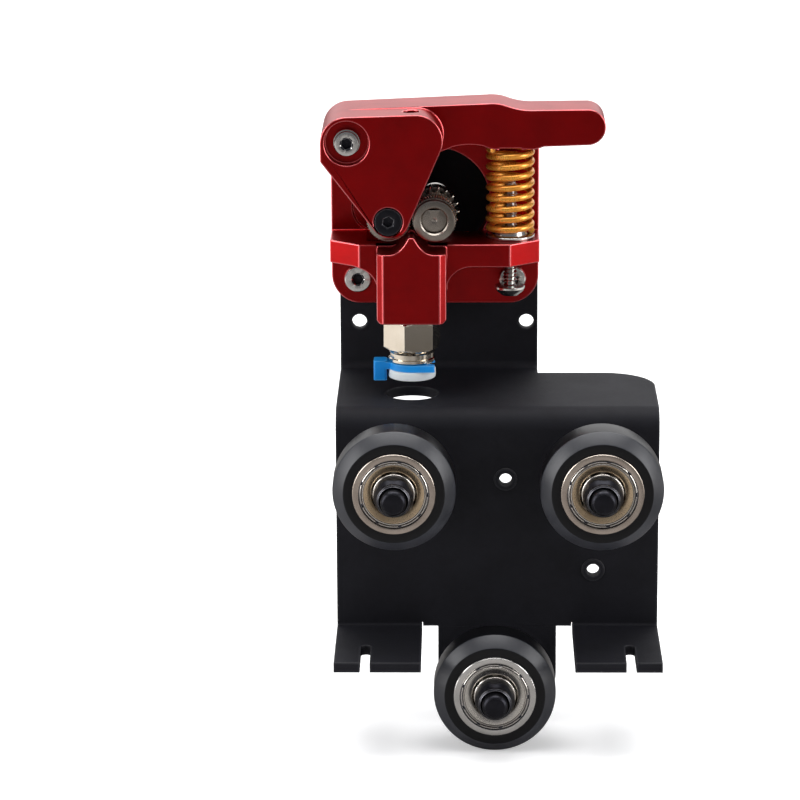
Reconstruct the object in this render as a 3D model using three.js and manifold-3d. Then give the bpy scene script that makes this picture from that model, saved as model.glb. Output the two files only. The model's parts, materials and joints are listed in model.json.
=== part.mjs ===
// Dual-gear filament extruder on its V-wheel carriage plate, for a belt-driven 3-D printer.
//
// Millimetres, +Z up. +X points right when the wheels face the viewer, and +Y points from the wheels
// towards the hot-end side. The origin lies on the hot-end side face of the carriage plate, at the
// centre of the rail that the three wheels hold.
import * as THREE from "three";
import { mergeVertices } from "three/addons/utils/BufferGeometryUtils.js";
import Module from "manifold-3d";

const wasm = await Module();
wasm.setup();

// ---------------------------------------------------------------- driving dimensions

const CONTACT = 0.02; // air left between two faces that rest on each other
const FIT = 0.06; // radial clearance of a running or locating fit
const SHEET = 2; // thickness of the bent steel plate

const PLATE = {
  width: 63.4,
  shelfTop: 31.6,
  upperFront: 31.7, // front face of the raised part that carries the extruder
  upperRight: 8.4,
  top: 86.6,
  frontBend: 4, // outer radius of the bend from plate to shelf
  backBend: 1.6, // inner radius of the bend from shelf to raised part
  shelfRightDepth: 27.6,
  shelfCorner: 10,
  topCorner: 5,
  footTop: -8,
  seatTop: 13,
  notchTop: -12.6,
  notchInner: 11.7,
  notchOuter: 14.7,
  tongueBottom: -29.4,
  tongueCorner: 7,
  tabTop: -12.4,
  tabReach: 24.9,
  tabBend: 0.6,
  slotCentre: 25.7,
  slotWidth: 1.9,
  slotStart: 14.4,
  axleHole: 2.6,
  shelfHole: 5.25, // radius of the hole that the filament tube passes through
  spareHole: 1.5, // two unused screw holes low in the raised part
  spareLeft: -27.8,
  spareRight: 6.1,
  spareHeight: 41.3,
  screwHole: 1.6,
};

const WHEEL = {
  sides: 24, // facets round the tyre's bore and the bearing that it holds
  outer: 11.9,
  width: 10.2,
  rim: 5.9,
  sideRadius: 9.75,
  spread: 20, // each top axle's distance from the plate's centre line
  height: 19.85,
  lowerHole: -20.55, // height of the plate hole that the eccentric spacer turns in
  faceY: -20, // front face of the front bearing
};
const BEARING = { outer: 8, bore: 2.5, width: 5, innerRing: 4.05, raceway: 6.75, shield: 4.45 };
const SHIM = 1; // between the two bearings of a wheel
const SPACER = 7; // from the plate to the rear bearing
const M5 = { radius: 2.45, head: 4.7, headHeight: 2.6, hex: 1.5, past: 6.5, nutFlats: 7.4, nutHeight: 4.6 };
const M3 = { radius: 1.5, head: 2.85, headHeight: 1.7, socket: 2, reach: 6.5 };
const ECCENTRIC = { offset: 0.79, angle: 224, boss: 3.5, flats: 10 };

// The motor's axis in the front view, half its square of screws, its shaft, and the hole for that shaft.
const MOTOR = { x: -12.35, z: 67.25, holes: 15.5, shaft: 2.5, shaftHole: 2.85 };
const BASE = { half: 20.8, top: 19.2, flange: 5.5, corner: 6, opening: 11.05, back: CONTACT, sunk: 2 };
const BEAM = { top: -5.7, bottom: -10.3, front: 19.1, chamferAcross: 5.9, chamferDeep: 4.6 };
const BLOCK = { half: 6.8, front: 26.7, back: 13.1, bottom: -20.1, edge: 1.2, peak: -2.7, shoulder: -6.1 };
const GEAR = {
  teeth: 18,
  tip: 4.95,
  root: 3.9,
  spacing: 9, // distance between the two gear axes
  hub: 4.15,
  hob: 4.35,
  neck: 3.5, // the body inside the spur teeth and between them and the hob
  throat: 3.75, // radius at the bottom of the filament groove
  front: 23.7,
  hobFront: 22,
  hobBack: 18,
  spurFront: 14.8,
  spurBack: 10.8,
  back: 7.3,
};
const FILAMENT = { x: -GEAR.spacing / 2, y: -(GEAR.hobFront + GEAR.hobBack) / 2, bore: 1 };
const PIVOT = {
  x: -17,
  z: 15.6,
  post: 3.2,
  counterbore: 4.35,
  counterboreDepth: 2.2,
  screw: 1.25,
  head: 2.6,
  headHeight: 1.3,
  washer: 2.9,
  washerHeight: 1,
  proud: 1.2, // the post stops this far behind the counterbore's floor
};
const ARM = {
  front: 24.5,
  back: 6.1,
  barFront: 16.5,
  cheekBack: 22.6,
  slotBack: 10.3,
  travel: 8, // degrees that the lever can be pressed down
  pivotRound: 5.2,
  screwSeat: 1, // depth of the idler screw's counterbore
};
const SPRING = { x: 14.95, y: -11.7, radius: 4.25, wire: 0.62, turns: 8.6, bottom: -4.4, top: 12.3 };
const TENSION = { radius: 1.45, head: 3, headHeight: 1.9, headTop: -15.6, tip: 6, socket: 2 };
const GRUB = { radius: 1.27, hole: 1.3, socket: 1.3, inner: 2.05 };
const NEEDLES = { inner: 1.56, outer: 2.54, bore: 2.6 };
const FITTING = { flats: 10, hexHeight: 6.2, collar: 4.75, collarHeight: 2.6, thread: 4.7, threadLength: 7 };
const COLLET = { flange: 4.7, flangeHeight: 1.8, sleeve: 3.1, bore: 2.1 };
const CLIP = { thickness: 1.4, outer: 4.6, width: 3.4, reach: 7.4, handleDrop: 2.3, limb: 4.5 };

// ---------------------------------------------------------------- materials

const paint = (color, roughness, metalness) => () =>
  new THREE.MeshStandardMaterial({ color, roughness, metalness });
const redAnodised = paint(0x9c0f14, 0.38, 0.75);
const blackPowder = paint(0x1b1b1e, 0.72, 0.2);
const blackPlastic = paint(0x141519, 0.42, 0);
const bearingSteel = paint(0xb9a58c, 0.28, 1);
const blackOxide = paint(0x1c1b1c, 0.45, 0.8);
const stainless = paint(0xc9c8c4, 0.25, 1);
const gearSteel = paint(0x9c958c, 0.3, 1);
const nickel = paint(0xc8c2b4, 0.22, 1);
const springSteel = paint(0xd88f2c, 0.35, 0.6);
const bluePlastic = paint(0x1f8fe0, 0.4, 0);
const whitePlastic = paint(0xe6eef0, 0.45, 0);
const aluminium = paint(0xb8bbbf, 0.35, 1);

// ---------------------------------------------------------------- solids

const degrees = THREE.MathUtils.degToRad;

// A three.js geometry as a manifold solid, turned right side out if its profile ran backwards. The
// corners are snapped to a fine grid, so that faces meant to share a plane really do.
function solid(geometry) {
  const grid = 1e-4;
  const bare = geometry.index ? geometry.toNonIndexed() : geometry.clone();
  bare.deleteAttribute("normal");
  bare.deleteAttribute("uv");
  const welded = mergeVertices(bare, grid / 2);
  const vertProperties = welded.attributes.position.array.map((value) => Math.round(value / grid) * grid);
  const triVerts = new Uint32Array(welded.index.array);
  const made = new wasm.Manifold(new wasm.Mesh({ numProp: 3, vertProperties, triVerts }));
  if (made.volume() > 0) return made;
  for (let i = 0; i < triVerts.length; i += 3) {
    [triVerts[i + 1], triVerts[i + 2]] = [triVerts[i + 2], triVerts[i + 1]];
  }
  return new wasm.Manifold(new wasm.Mesh({ numProp: 3, vertProperties, triVerts }));
}

function geometryOf(made) {
  const { numProp, vertProperties, triVerts } = made.getMesh();
  const positions = new Float32Array((vertProperties.length / numProp) * 3);
  for (let i = 0; i < positions.length / 3; i += 1) {
    positions.set(vertProperties.subarray(i * numProp, i * numProp + 3), i * 3);
  }
  const geometry = new THREE.BufferGeometry();
  geometry.setAttribute("position", new THREE.BufferAttribute(positions, 3));
  geometry.setIndex(new THREE.BufferAttribute(new Uint32Array(triVerts), 1));
  geometry.computeVertexNormals();
  return geometry;
}

const joined = (first, ...others) => others.reduce((sum, other) => sum.add(other), first);
const cut = (body, ...tools) => tools.reduce((rest, tool) => rest.subtract(tool), body);

// A solid of revolution about the Y axis through (x, z). The profile lists [radius, y] pairs.
function turned(profile, segments = 20, x = 0, z = 0) {
  const points = profile.map(([radius, y]) => new THREE.Vector2(radius, y));
  const onAxis = profile[0][0] === 0 && profile.at(-1)[0] === 0;
  if (!onAxis) points.push(points[0].clone());
  return solid(new THREE.LatheGeometry(points, segments).translate(x, 0, z));
}

// The same about a vertical axis through (x, y): the profile lists [radius, z] pairs.
function turnedUpright(profile, segments = 20, x = 0, y = 0) {
  const points = profile.map(([radius, z]) => new THREE.Vector2(radius, z));
  const onAxis = profile[0][0] === 0 && profile.at(-1)[0] === 0;
  if (!onAxis) points.push(points[0].clone());
  return solid(new THREE.LatheGeometry(points, segments).rotateX(Math.PI / 2).translate(x, y, 0));
}

const rod = (radius, y0, y1, x = 0, z = 0, segments = 20) =>
  turned([[0, y0], [radius, y0], [radius, y1], [0, y1]], segments, x, z);
const post = (radius, z0, z1, x = 0, y = 0, segments = 20) =>
  turnedUpright([[0, z0], [radius, z0], [radius, z1], [0, z1]], segments, x, y);

// A front-view outline in x and z, given thickness from y0 to y1.
function slab(shape, y0, y1, curveSegments = 6) {
  const geometry = new THREE.ExtrudeGeometry(shape, { depth: y1 - y0, bevelEnabled: false, curveSegments });
  return solid(geometry.rotateX(Math.PI / 2).translate(0, y1, 0));
}

// A plan outline in x and y, given height from z0 to z1.
function column(shape, z0, z1, curveSegments = 5) {
  const geometry = new THREE.ExtrudeGeometry(shape, { depth: z1 - z0, bevelEnabled: false, curveSegments });
  return solid(geometry.translate(0, 0, z0));
}

// A side-view outline in y and z, given width from x0 to x1.
function strip(shape, x0, x1, curveSegments = 5) {
  const geometry = new THREE.ExtrudeGeometry(shape, { depth: x1 - x0, bevelEnabled: false, curveSegments });
  const sideways = new THREE.Matrix4().makeBasis(
    new THREE.Vector3(0, 1, 0),
    new THREE.Vector3(0, 0, 1),
    new THREE.Vector3(1, 0, 0),
  );
  return solid(geometry.applyMatrix4(sideways).translate(x0, 0, 0));
}

const box = (x0, x1, y0, y1, z0, z1) =>
  solid(
    new THREE.BoxGeometry(x1 - x0, y1 - y0, z1 - z0).translate((x0 + x1) / 2, (y0 + y1) / 2, (z0 + z1) / 2),
  );

function polygon(...points) {
  return new THREE.Shape(points.map(([a, b]) => new THREE.Vector2(a, b)));
}

// A rectangle whose corners have the four radii [low-left, low-right, high-right, high-left].
function roundedRectangle(x0, x1, z0, z1, [lowLeft, lowRight, highRight, highLeft]) {
  const shape = new THREE.Shape();
  shape.moveTo(x0 + lowLeft, z0);
  shape.lineTo(x1 - lowRight, z0);
  if (lowRight) shape.absarc(x1 - lowRight, z0 + lowRight, lowRight, -Math.PI / 2, 0, false);
  shape.lineTo(x1, z1 - highRight);
  if (highRight) shape.absarc(x1 - highRight, z1 - highRight, highRight, 0, Math.PI / 2, false);
  shape.lineTo(x0 + highLeft, z1);
  if (highLeft) shape.absarc(x0 + highLeft, z1 - highLeft, highLeft, Math.PI / 2, Math.PI, false);
  shape.lineTo(x0, z0 + lowLeft);
  if (lowLeft) shape.absarc(x0 + lowLeft, z0 + lowLeft, lowLeft, Math.PI, 1.5 * Math.PI, false);
  return shape;
}

// A regular polygon measured across its flats, with its first corner at startAngle.
function regular(sides, flats, startAngle = 0, x = 0, z = 0) {
  const radius = flats / 2 / Math.cos(Math.PI / sides);
  const points = [];
  for (let i = 0; i < sides; i += 1) {
    const angle = startAngle + (i * 2 * Math.PI) / sides;
    points.push([x + radius * Math.cos(angle), z + radius * Math.sin(angle)]);
  }
  return polygon(...points);
}

function part(name, made, material) {
  const mesh = new THREE.Mesh(geometryOf(made), material());
  mesh.name = name;
  return mesh;
}

function assembly(x, y, z, ...children) {
  const group = new THREE.Group();
  group.position.set(x, y, z);
  group.add(...children);
  return group;
}

// ---------------------------------------------------------------- carriage plate

// Side view of the sheet from the panel's top edge over the shelf: y to the right, z up.
function shelfOutline(reach, raised) {
  const { shelfTop, upperFront, frontBend, backBend, top } = PLATE;
  const low = shelfTop - frontBend - 1;
  const bendCentre = -SHEET + frontBend;
  const shape = new THREE.Shape();
  shape.moveTo(0, low);
  shape.lineTo(0, shelfTop - frontBend);
  shape.absarc(bendCentre, shelfTop - frontBend, frontBend - SHEET, Math.PI, Math.PI / 2, true);
  if (raised) {
    const backCentre = upperFront - backBend;
    shape.lineTo(backCentre, shelfTop - SHEET);
    shape.absarc(backCentre, shelfTop + backBend, backBend + SHEET, -Math.PI / 2, 0, false);
    shape.lineTo(upperFront + SHEET, top);
    shape.lineTo(upperFront, top);
    shape.lineTo(upperFront, shelfTop + backBend);
    shape.absarc(backCentre, shelfTop + backBend, backBend, 0, -Math.PI / 2, true);
  } else {
    shape.lineTo(reach, shelfTop - SHEET);
    shape.lineTo(reach, shelfTop);
  }
  shape.lineTo(bendCentre, shelfTop);
  shape.absarc(bendCentre, shelfTop - frontBend, frontBend, Math.PI / 2, Math.PI, false);
  shape.lineTo(-SHEET, low);
  return shape;
}

// Side view of a belt tab, bent forward from the foot of the panel.
function tabOutline() {
  const { tabTop, tabReach, tabBend } = PLATE;
  const shape = new THREE.Shape();
  shape.moveTo(0, tabTop + tabBend);
  shape.lineTo(-SHEET, tabTop + tabBend);
  shape.absarc(-SHEET - tabBend, tabTop + tabBend, tabBend, 0, -Math.PI / 2, true);
  shape.lineTo(-tabReach, tabTop);
  shape.lineTo(-tabReach, tabTop - SHEET);
  shape.lineTo(-SHEET - tabBend, tabTop - SHEET);
  shape.absarc(-SHEET - tabBend, tabTop + tabBend, tabBend + SHEET, -Math.PI / 2, 0, false);
  return shape;
}

// Front view of the panel's foot, with the tongue that hangs behind the lower wheel.
function footOutline() {
  const { width, footTop, notchTop, notchInner, notchOuter } = PLATE;
  const { tongueBottom, tongueCorner, tabTop, tabBend } = PLATE;
  const half = width / 2;
  const foot = tabTop + tabBend;
  const shape = new THREE.Shape();
  shape.moveTo(-half, foot);
  shape.lineTo(-notchOuter, foot);
  shape.lineTo(-notchOuter, notchTop);
  shape.lineTo(-notchInner, notchTop);
  shape.lineTo(-notchInner, tongueBottom + tongueCorner);
  const corner = notchInner - tongueCorner;
  shape.absarc(-corner, tongueBottom + tongueCorner, tongueCorner, Math.PI, 1.5 * Math.PI, false);
  shape.absarc(corner, tongueBottom + tongueCorner, tongueCorner, -Math.PI / 2, 0, false);
  shape.lineTo(notchInner, notchTop);
  shape.lineTo(notchOuter, notchTop);
  shape.lineTo(notchOuter, foot);
  shape.lineTo(half, foot);
  shape.lineTo(half, footTop);
  shape.lineTo(-half, footTop);
  return shape;
}

// The flat panel, in three bands: the middle one, between the axle holes, is the hot end's seat.
function panel() {
  const { width, shelfTop, frontBend, footTop, seatTop } = PLATE;
  const half = width / 2;
  return joined(
    slab(footOutline(), -SHEET, 0),
    box(-half, half, -SHEET, 0, footTop, seatTop),
    box(-half, half, -SHEET, 0, seatTop, shelfTop - frontBend - 1),
  );
}

function carriagePlate() {
  const { width, shelfTop, upperRight, upperFront, top, topCorner, shelfCorner, shelfRightDepth } = PLATE;
  const half = width / 2;
  const plan = roundedRectangle(upperRight, half, -SHEET, shelfRightDepth, [0, 0, shelfCorner, 0]);
  const rightShelf = strip(shelfOutline(shelfRightDepth, false), upperRight, half).intersect(
    column(plan, 0, shelfTop + 1),
  );
  const raisedView = roundedRectangle(-half, upperRight, 0, top, [0, 0, topCorner, topCorner]);
  const raised = strip(shelfOutline(0, true), -half, upperRight).intersect(
    slab(raisedView, -SHEET - 1, upperFront + SHEET + 1),
  );
  const tabs = [-1, 1].map((side) => {
    const edges = [side * PLATE.notchOuter, side * half].sort((a, b) => a - b);
    return strip(tabOutline(), ...edges);
  });
  // Two tapped holes for the hot end, each with the collar that punching it through leaves.
  const tapped = [[1.6, 17.7], [18.9, -0.9]];
  const tappedHole = 1.25;
  const collarHeight = 0.35;
  const collars = tapped.map(([x, z]) =>
    rod(tappedHole + 1, -SHEET - collarHeight, -SHEET + 0.5, x, z, 12),
  );
  const sheet = joined(panel(), rightShelf, raised, ...tabs, ...collars);

  const through = (radius, x, z, segments = 16) => rod(radius, -SHEET - 1, 1, x, z, segments);
  const behind = (radius, x, z) => rod(radius, upperFront - 1, upperFront + SHEET + 1, x, z, 12);
  const { x: mx, z: mz, holes } = MOTOR;
  const slots = [-1, 1].map((side) => {
    const { slotWidth, slotStart, tabReach, tabTop } = PLATE;
    const x = side * PLATE.slotCentre;
    const end = roundedRectangle(
      x - slotWidth / 2,
      x + slotWidth / 2,
      -tabReach - 1,
      -slotStart,
      [0, 0, slotWidth / 2, slotWidth / 2],
    );
    return column(end, tabTop - SHEET - 1, tabTop + 1, 3);
  });
  return cut(
    sheet,
    ...tapped.map(([x, z]) => through(tappedHole, x, z, 12)),
    through(PLATE.axleHole, -WHEEL.spread, WHEEL.height),
    through(PLATE.axleHole, WHEEL.spread, WHEEL.height),
    through(ECCENTRIC.boss + FIT, 0, WHEEL.lowerHole, 24),
    post(PLATE.shelfHole, shelfTop - SHEET - 1, shelfTop + 1, mx + FILAMENT.x, upperFront + FILAMENT.y, 20),
    behind(PLATE.spareHole, PLATE.spareLeft, PLATE.spareHeight),
    behind(PLATE.spareHole, PLATE.spareRight, PLATE.spareHeight),
    behind(MOTOR.shaftHole, mx, mz),
    behind(PLATE.screwHole, mx - holes, mz - holes),
    behind(PLATE.screwHole, mx + holes, mz - holes),
    behind(PLATE.screwHole, mx + holes, mz + holes),
    ...slots,
  );
}

// ---------------------------------------------------------------- wheels

function tyre() {
  const { outer, width, rim, sideRadius } = WHEEL;
  const half = width / 2;
  const seat = BEARING.outer + CONTACT;
  const rib = SHIM / 2 - CONTACT;
  return turned(
    [
      [seat, -half],
      [sideRadius, -half],
      [outer, -rim / 2],
      [outer, rim / 2],
      [sideRadius, half],
      [seat, half],
      [seat, rib],
      [BEARING.raceway + 0.4, rib],
      [BEARING.raceway + 0.4, -rib],
      [seat, -rib],
    ],
    WHEEL.sides,
  );
}

// Outer ring with its two dished shields, from y = 0 to the bearing's width.
function outerRing() {
  const { outer, width, raceway, shield } = BEARING;
  const dish = 0.4;
  const inside = 0.7;
  return turned(
    [
      [outer, 0],
      [outer, width],
      [raceway, width],
      [shield, width - dish],
      [shield, width - inside],
      [raceway, width - inside],
      [raceway, inside],
      [shield, inside],
      [shield, dish],
      [raceway, 0],
    ],
    WHEEL.sides,
  );
}

function innerRing() {
  const { bore, innerRing: radius, width } = BEARING;
  return turned([[bore + 0.04, 0], [radius, 0], [radius, width], [bore + 0.04, width]], 16);
}

// The ring of balls in its cage, as the plain ring that it sweeps.
function ballRing() {
  const middle = (BEARING.innerRing + BEARING.raceway) / 2;
  const half = BEARING.width / 2;
  const ball = 1.2;
  return turned(
    [[middle - ball, half], [middle, half - ball], [middle + ball, half], [middle, half + ball]],
    16,
  );
}

function bearing(name, y) {
  return assembly(
    0, y, 0,
    part(`${name}_outer_ring`, outerRing(), bearingSteel),
    part(`${name}_inner_ring`, innerRing(), bearingSteel),
    part(`${name}_balls`, ballRing(), stainless),
  );
}

function axleScrew() {
  const { radius, head, headHeight, hex, past } = M5;
  const tip = WHEEL.faceY - past;
  const screw = turned(
    [
      [0, tip],
      [radius - 0.5, tip],
      [radius, tip + 0.6],
      [radius, CONTACT],
      [head, CONTACT],
      [head, 1],
      [head * 0.62, headHeight],
      [0, headHeight],
    ],
    16,
  );
  return screw.subtract(slab(regular(6, 2 * hex, 0), 1, headHeight + 1));
}

// A lock nut: a low hexagon with its corners turned off, and a cone up to its collar.
function axleNut() {
  const { radius, nutFlats, nutHeight } = M5;
  const near = WHEEL.faceY - CONTACT;
  const far = near - nutHeight;
  const hexagon = slab(regular(6, nutFlats, Math.PI / 6), far, near);
  const collar = 3.2;
  const skirt = 3.85;
  const dome = turned([[0, far], [collar, far], [skirt, near - 2.4], [skirt, near], [0, near]], 18);
  return cut(hexagon.intersect(dome), rod(radius + FIT, far - 1, near + 1));
}

function spacer() {
  const near = -SHEET - CONTACT;
  const far = near - SPACER + 3 * CONTACT;
  const bore = M5.radius + FIT;
  return turned([[bore, near], [4.9, near], [4.9, far + 1], [3.6, far + 1], [3.6, far], [bore, far]], 16);
}

// The hexagonal spacer whose boss turns in the plate. Its own axis is the plate hole's axis, and the
// screw's bore lies off that axis.
function eccentricSpacer() {
  const near = -SHEET - CONTACT;
  const far = near - SPACER + 3 * CONTACT;
  const hexagon = slab(regular(6, ECCENTRIC.flats, 0.2), far + 1, near);
  const boss = rod(ECCENTRIC.boss, near - 0.1, -0.15, 0, 0, 24);
  const angle = degrees(ECCENTRIC.angle);
  const x = ECCENTRIC.offset * Math.cos(angle);
  const z = ECCENTRIC.offset * Math.sin(angle);
  const shoulder = rod(3.6, far, far + 1.1, x, z);
  return cut(joined(hexagon, boss, shoulder), rod(M5.radius + FIT, far - 1, 1, x, z));
}

// One V-wheel on its axle, drawn about the axle's own axis.
function wheel(name, x, z, spacerMesh) {
  const rear = WHEEL.faceY + BEARING.width + SHIM;
  const middle = WHEEL.faceY + BEARING.width + SHIM / 2;
  const tyreMesh = part(`${name}_tyre`, tyre(), blackPlastic);
  tyreMesh.position.y = middle;
  const bore = M5.radius + FIT;
  const edge = SHIM / 2 - CONTACT;
  const shimRadius = 4.6;
  const near = middle - edge;
  const far = middle + edge;
  const shim = turned([[bore, near], [shimRadius, near], [shimRadius, far], [bore, far]], 20);
  return assembly(
    x, 0, z,
    tyreMesh,
    bearing(`${name}_front_bearing`, WHEEL.faceY),
    bearing(`${name}_rear_bearing`, rear),
    part(`${name}_bearing_shim`, shim, stainless),
    part(`${name}_axle_screw`, axleScrew(), blackOxide),
    part(`${name}_axle_nut`, axleNut(), blackOxide),
    ...(spacerMesh ? [spacerMesh] : []),
  );
}

function wheels() {
  const angle = degrees(ECCENTRIC.angle);
  const lowerX = ECCENTRIC.offset * Math.cos(angle);
  const lowerZ = WHEEL.lowerHole + ECCENTRIC.offset * Math.sin(angle);
  const eccentric = part("eccentric_spacer", eccentricSpacer(), aluminium);
  return assembly(
    0, 0, 0,
    wheel("left_wheel", -WHEEL.spread, WHEEL.height, part("left_wheel_spacer", spacer(), aluminium)),
    wheel("right_wheel", WHEEL.spread, WHEEL.height, part("right_wheel_spacer", spacer(), aluminium)),
    wheel("lower_wheel", lowerX, lowerZ),
    assembly(0, 0, WHEEL.lowerHole, eccentric),
  );
}

// ---------------------------------------------------------------- extruder base

// Front view of the guide block: two hollows under the gears meet in a blunt peak between them.
function blockOutline() {
  const { half, bottom, peak, shoulder } = BLOCK;
  const centre = FILAMENT.x;
  const axis = GEAR.spacing / 2;
  const shape = new THREE.Shape();
  shape.moveTo(centre - half, bottom + 0.6);
  shape.lineTo(centre - half + 0.6, bottom);
  shape.lineTo(centre + half - 0.6, bottom);
  shape.lineTo(centre + half, bottom + 0.6);
  shape.lineTo(centre + half, shoulder);
  shape.lineTo(centre + axis - 0.3, shoulder);
  shape.quadraticCurveTo(centre + axis - 2.4, shoulder + 0.2, centre + 0.5, peak);
  shape.lineTo(centre - 0.5, peak);
  shape.quadraticCurveTo(centre - axis + 2.4, shoulder + 0.2, centre - axis + 0.3, shoulder);
  shape.lineTo(centre - half, shoulder);
  return shape;
}

// Front view of the beam with the fillets that carry it down into the block.
function beamOutline() {
  const { half } = BASE;
  const { top, bottom } = BEAM;
  const fillet = 5;
  const left = FILAMENT.x - BLOCK.half;
  const right = FILAMENT.x + BLOCK.half;
  const shape = new THREE.Shape();
  shape.moveTo(-half, bottom);
  shape.lineTo(left - fillet, bottom);
  shape.absarc(left - fillet, bottom - fillet, fillet, Math.PI / 2, 0, true);
  shape.lineTo(right, bottom - fillet);
  shape.absarc(right + fillet, bottom - fillet, fillet, Math.PI, Math.PI / 2, true);
  shape.lineTo(half, bottom);
  shape.lineTo(half, top);
  shape.lineTo(-half, top);
  return shape;
}

// Where the idler's axis stands once the arm has been pressed through the angle.
function idlerCentre(angle) {
  const across = -GEAR.spacing - PIVOT.x;
  const down = -PIVOT.z;
  const cosine = Math.cos(angle);
  const sine = Math.sin(angle);
  return [PIVOT.x + cosine * across + sine * down, PIVOT.z + cosine * down - sine * across];
}

function extruderBase() {
  const { half, flange, corner, opening, back } = BASE;
  const { front, chamferAcross, chamferDeep } = BEAM;
  const flangeView = roundedRectangle(-half, half, -half, BASE.top, [corner, corner, 2, 2]);
  const plate = slab(flangeView, -flange, -back);

  const beamPlan = polygon(
    [-half, -flange + 1],
    [-half, -front + chamferDeep],
    [-half + chamferAcross, -front],
    [half - chamferAcross, -front],
    [half, -front + chamferDeep],
    [half, -flange + 1],
  );
  const beam = slab(beamOutline(), -front, -flange + 1).intersect(column(beamPlan, -half, half));

  const blockLeft = FILAMENT.x - BLOCK.half;
  const blockRight = FILAMENT.x + BLOCK.half;
  const { edge } = BLOCK;
  const blockPlan = polygon(
    [blockLeft + edge, -BLOCK.front],
    [blockRight - edge, -BLOCK.front],
    [blockRight, -BLOCK.front + edge],
    [blockRight, -BLOCK.back],
    [blockLeft, -BLOCK.back],
    [blockLeft, -BLOCK.front + edge],
  );
  const block = slab(blockOutline(), -BLOCK.front, -BLOCK.back).intersect(column(blockPlan, -half, half));
  const web = box(blockLeft, blockRight, -BLOCK.back - 1, -flange + 1, BLOCK.bottom + 2, BEAM.bottom + 1);
  const postFront = -ARM.front + PIVOT.counterboreDepth + PIVOT.proud;
  const pivotPost = rod(PIVOT.post, postFront, -flange + 1, PIVOT.x, PIVOT.z);

  const gearCentres = [[0, 0], idlerCentre(0), idlerCentre(degrees(ARM.travel))];
  const gearRoom = gearCentres.map(([x, z]) =>
    rod(GEAR.tip + 0.35, -GEAR.spurFront - 0.4, -flange + 0.5, x, z, 20),
  );
  const { holes } = MOTOR;
  const screwHoles = [[-holes, -holes], [holes, -holes], [holes, holes]].map(([x, z]) =>
    rod(PLATE.screwHole, -flange - 1, 1, x, z, 12),
  );
  const threadTop = BLOCK.bottom + FITTING.threadLength + 0.3;
  return cut(
    joined(plate, beam, block, web, pivotPost),
    rod(M3.head + 0.25, -flange - 1, -flange + BASE.sunk, holes, holes, 16),
    rod(opening, -flange - 1, 1, 0, 0, 32),
    ...gearRoom,
    ...screwHoles,
    rod(PIVOT.screw + FIT, -ARM.front, 1, PIVOT.x, PIVOT.z, 16),
    post(FILAMENT.bore, BLOCK.bottom - 1, 1, FILAMENT.x, FILAMENT.y, 16),
    post(FITTING.thread + FIT, BLOCK.bottom - 1, threadTop, FILAMENT.x, FILAMENT.y),
    post(TENSION.radius + FIT, BEAM.bottom - 1, BEAM.top + 1, SPRING.x, SPRING.y, 20),
  );
}

// ---------------------------------------------------------------- tension arm

// Front view of the cheek in front of the idler gear. Each round corner is tangent to both sides.
function cheekOutline() {
  const { pivotRound } = ARM;
  const upperRound = 5.2;
  const idlerRound = 3.9;
  const idlerX = -GEAR.spacing + 0.35;
  const idlerZ = 0.7;
  const upperX = -3.5;
  const upperZ = PIVOT.z + 0.4;
  const shape = new THREE.Shape();
  const leftSide = Math.atan2(PIVOT.z - 3.8 - idlerZ, -21.7 - (idlerX - idlerRound));
  const rightSide = Math.atan2(upperZ - idlerZ, upperX - idlerX);
  shape.moveTo(PIVOT.x - pivotRound, PIVOT.z - 3.6);
  const foot = leftSide + Math.PI / 2;
  shape.absarc(idlerX, idlerZ, idlerRound, foot, rightSide - Math.PI / 2 + 2 * Math.PI, false);
  shape.absarc(upperX, upperZ, upperRound, rightSide - Math.PI / 2, Math.PI / 2 + 0.03, false);
  shape.absarc(PIVOT.x, PIVOT.z, pivotRound, Math.PI / 2 + 0.03, Math.PI, false);
  return shape;
}

// Front view of the whole lever, from the pivot along the bar to the thumb end.
function leverOutline() {
  const { pivotRound } = ARM;
  const endRound = 3.55;
  const endX = 30.1;
  const endZ = 17.2;
  const shape = new THREE.Shape();
  shape.moveTo(PIVOT.x - pivotRound, PIVOT.z);
  shape.absarc(PIVOT.x, PIVOT.z, pivotRound, Math.PI, 1.75 * Math.PI, false);
  shape.lineTo(-9.5, 11.9);
  shape.lineTo(-1.5, 11.9);
  shape.quadraticCurveTo(1.6, 12.3, 3.5, 13.3);
  shape.quadraticCurveTo(6.5, 14.1, 9.6, 13.5);
  shape.lineTo(11.2, 12.8);
  shape.lineTo(19.5, 12.8);
  shape.lineTo(21, 13.3);
  shape.lineTo(endX, endZ - endRound);
  shape.absarc(endX, endZ, endRound, -Math.PI / 2, Math.PI / 2, false);
  shape.lineTo(19, 20.5);
  shape.quadraticCurveTo(16.6, 20.7, 14.4, 21.5);
  shape.quadraticCurveTo(12.6, 22.2, 10.4, 22);
  shape.absarc(PIVOT.x, PIVOT.z, pivotRound, Math.PI / 2 + 0.03, Math.PI, false);
  return shape;
}

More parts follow.
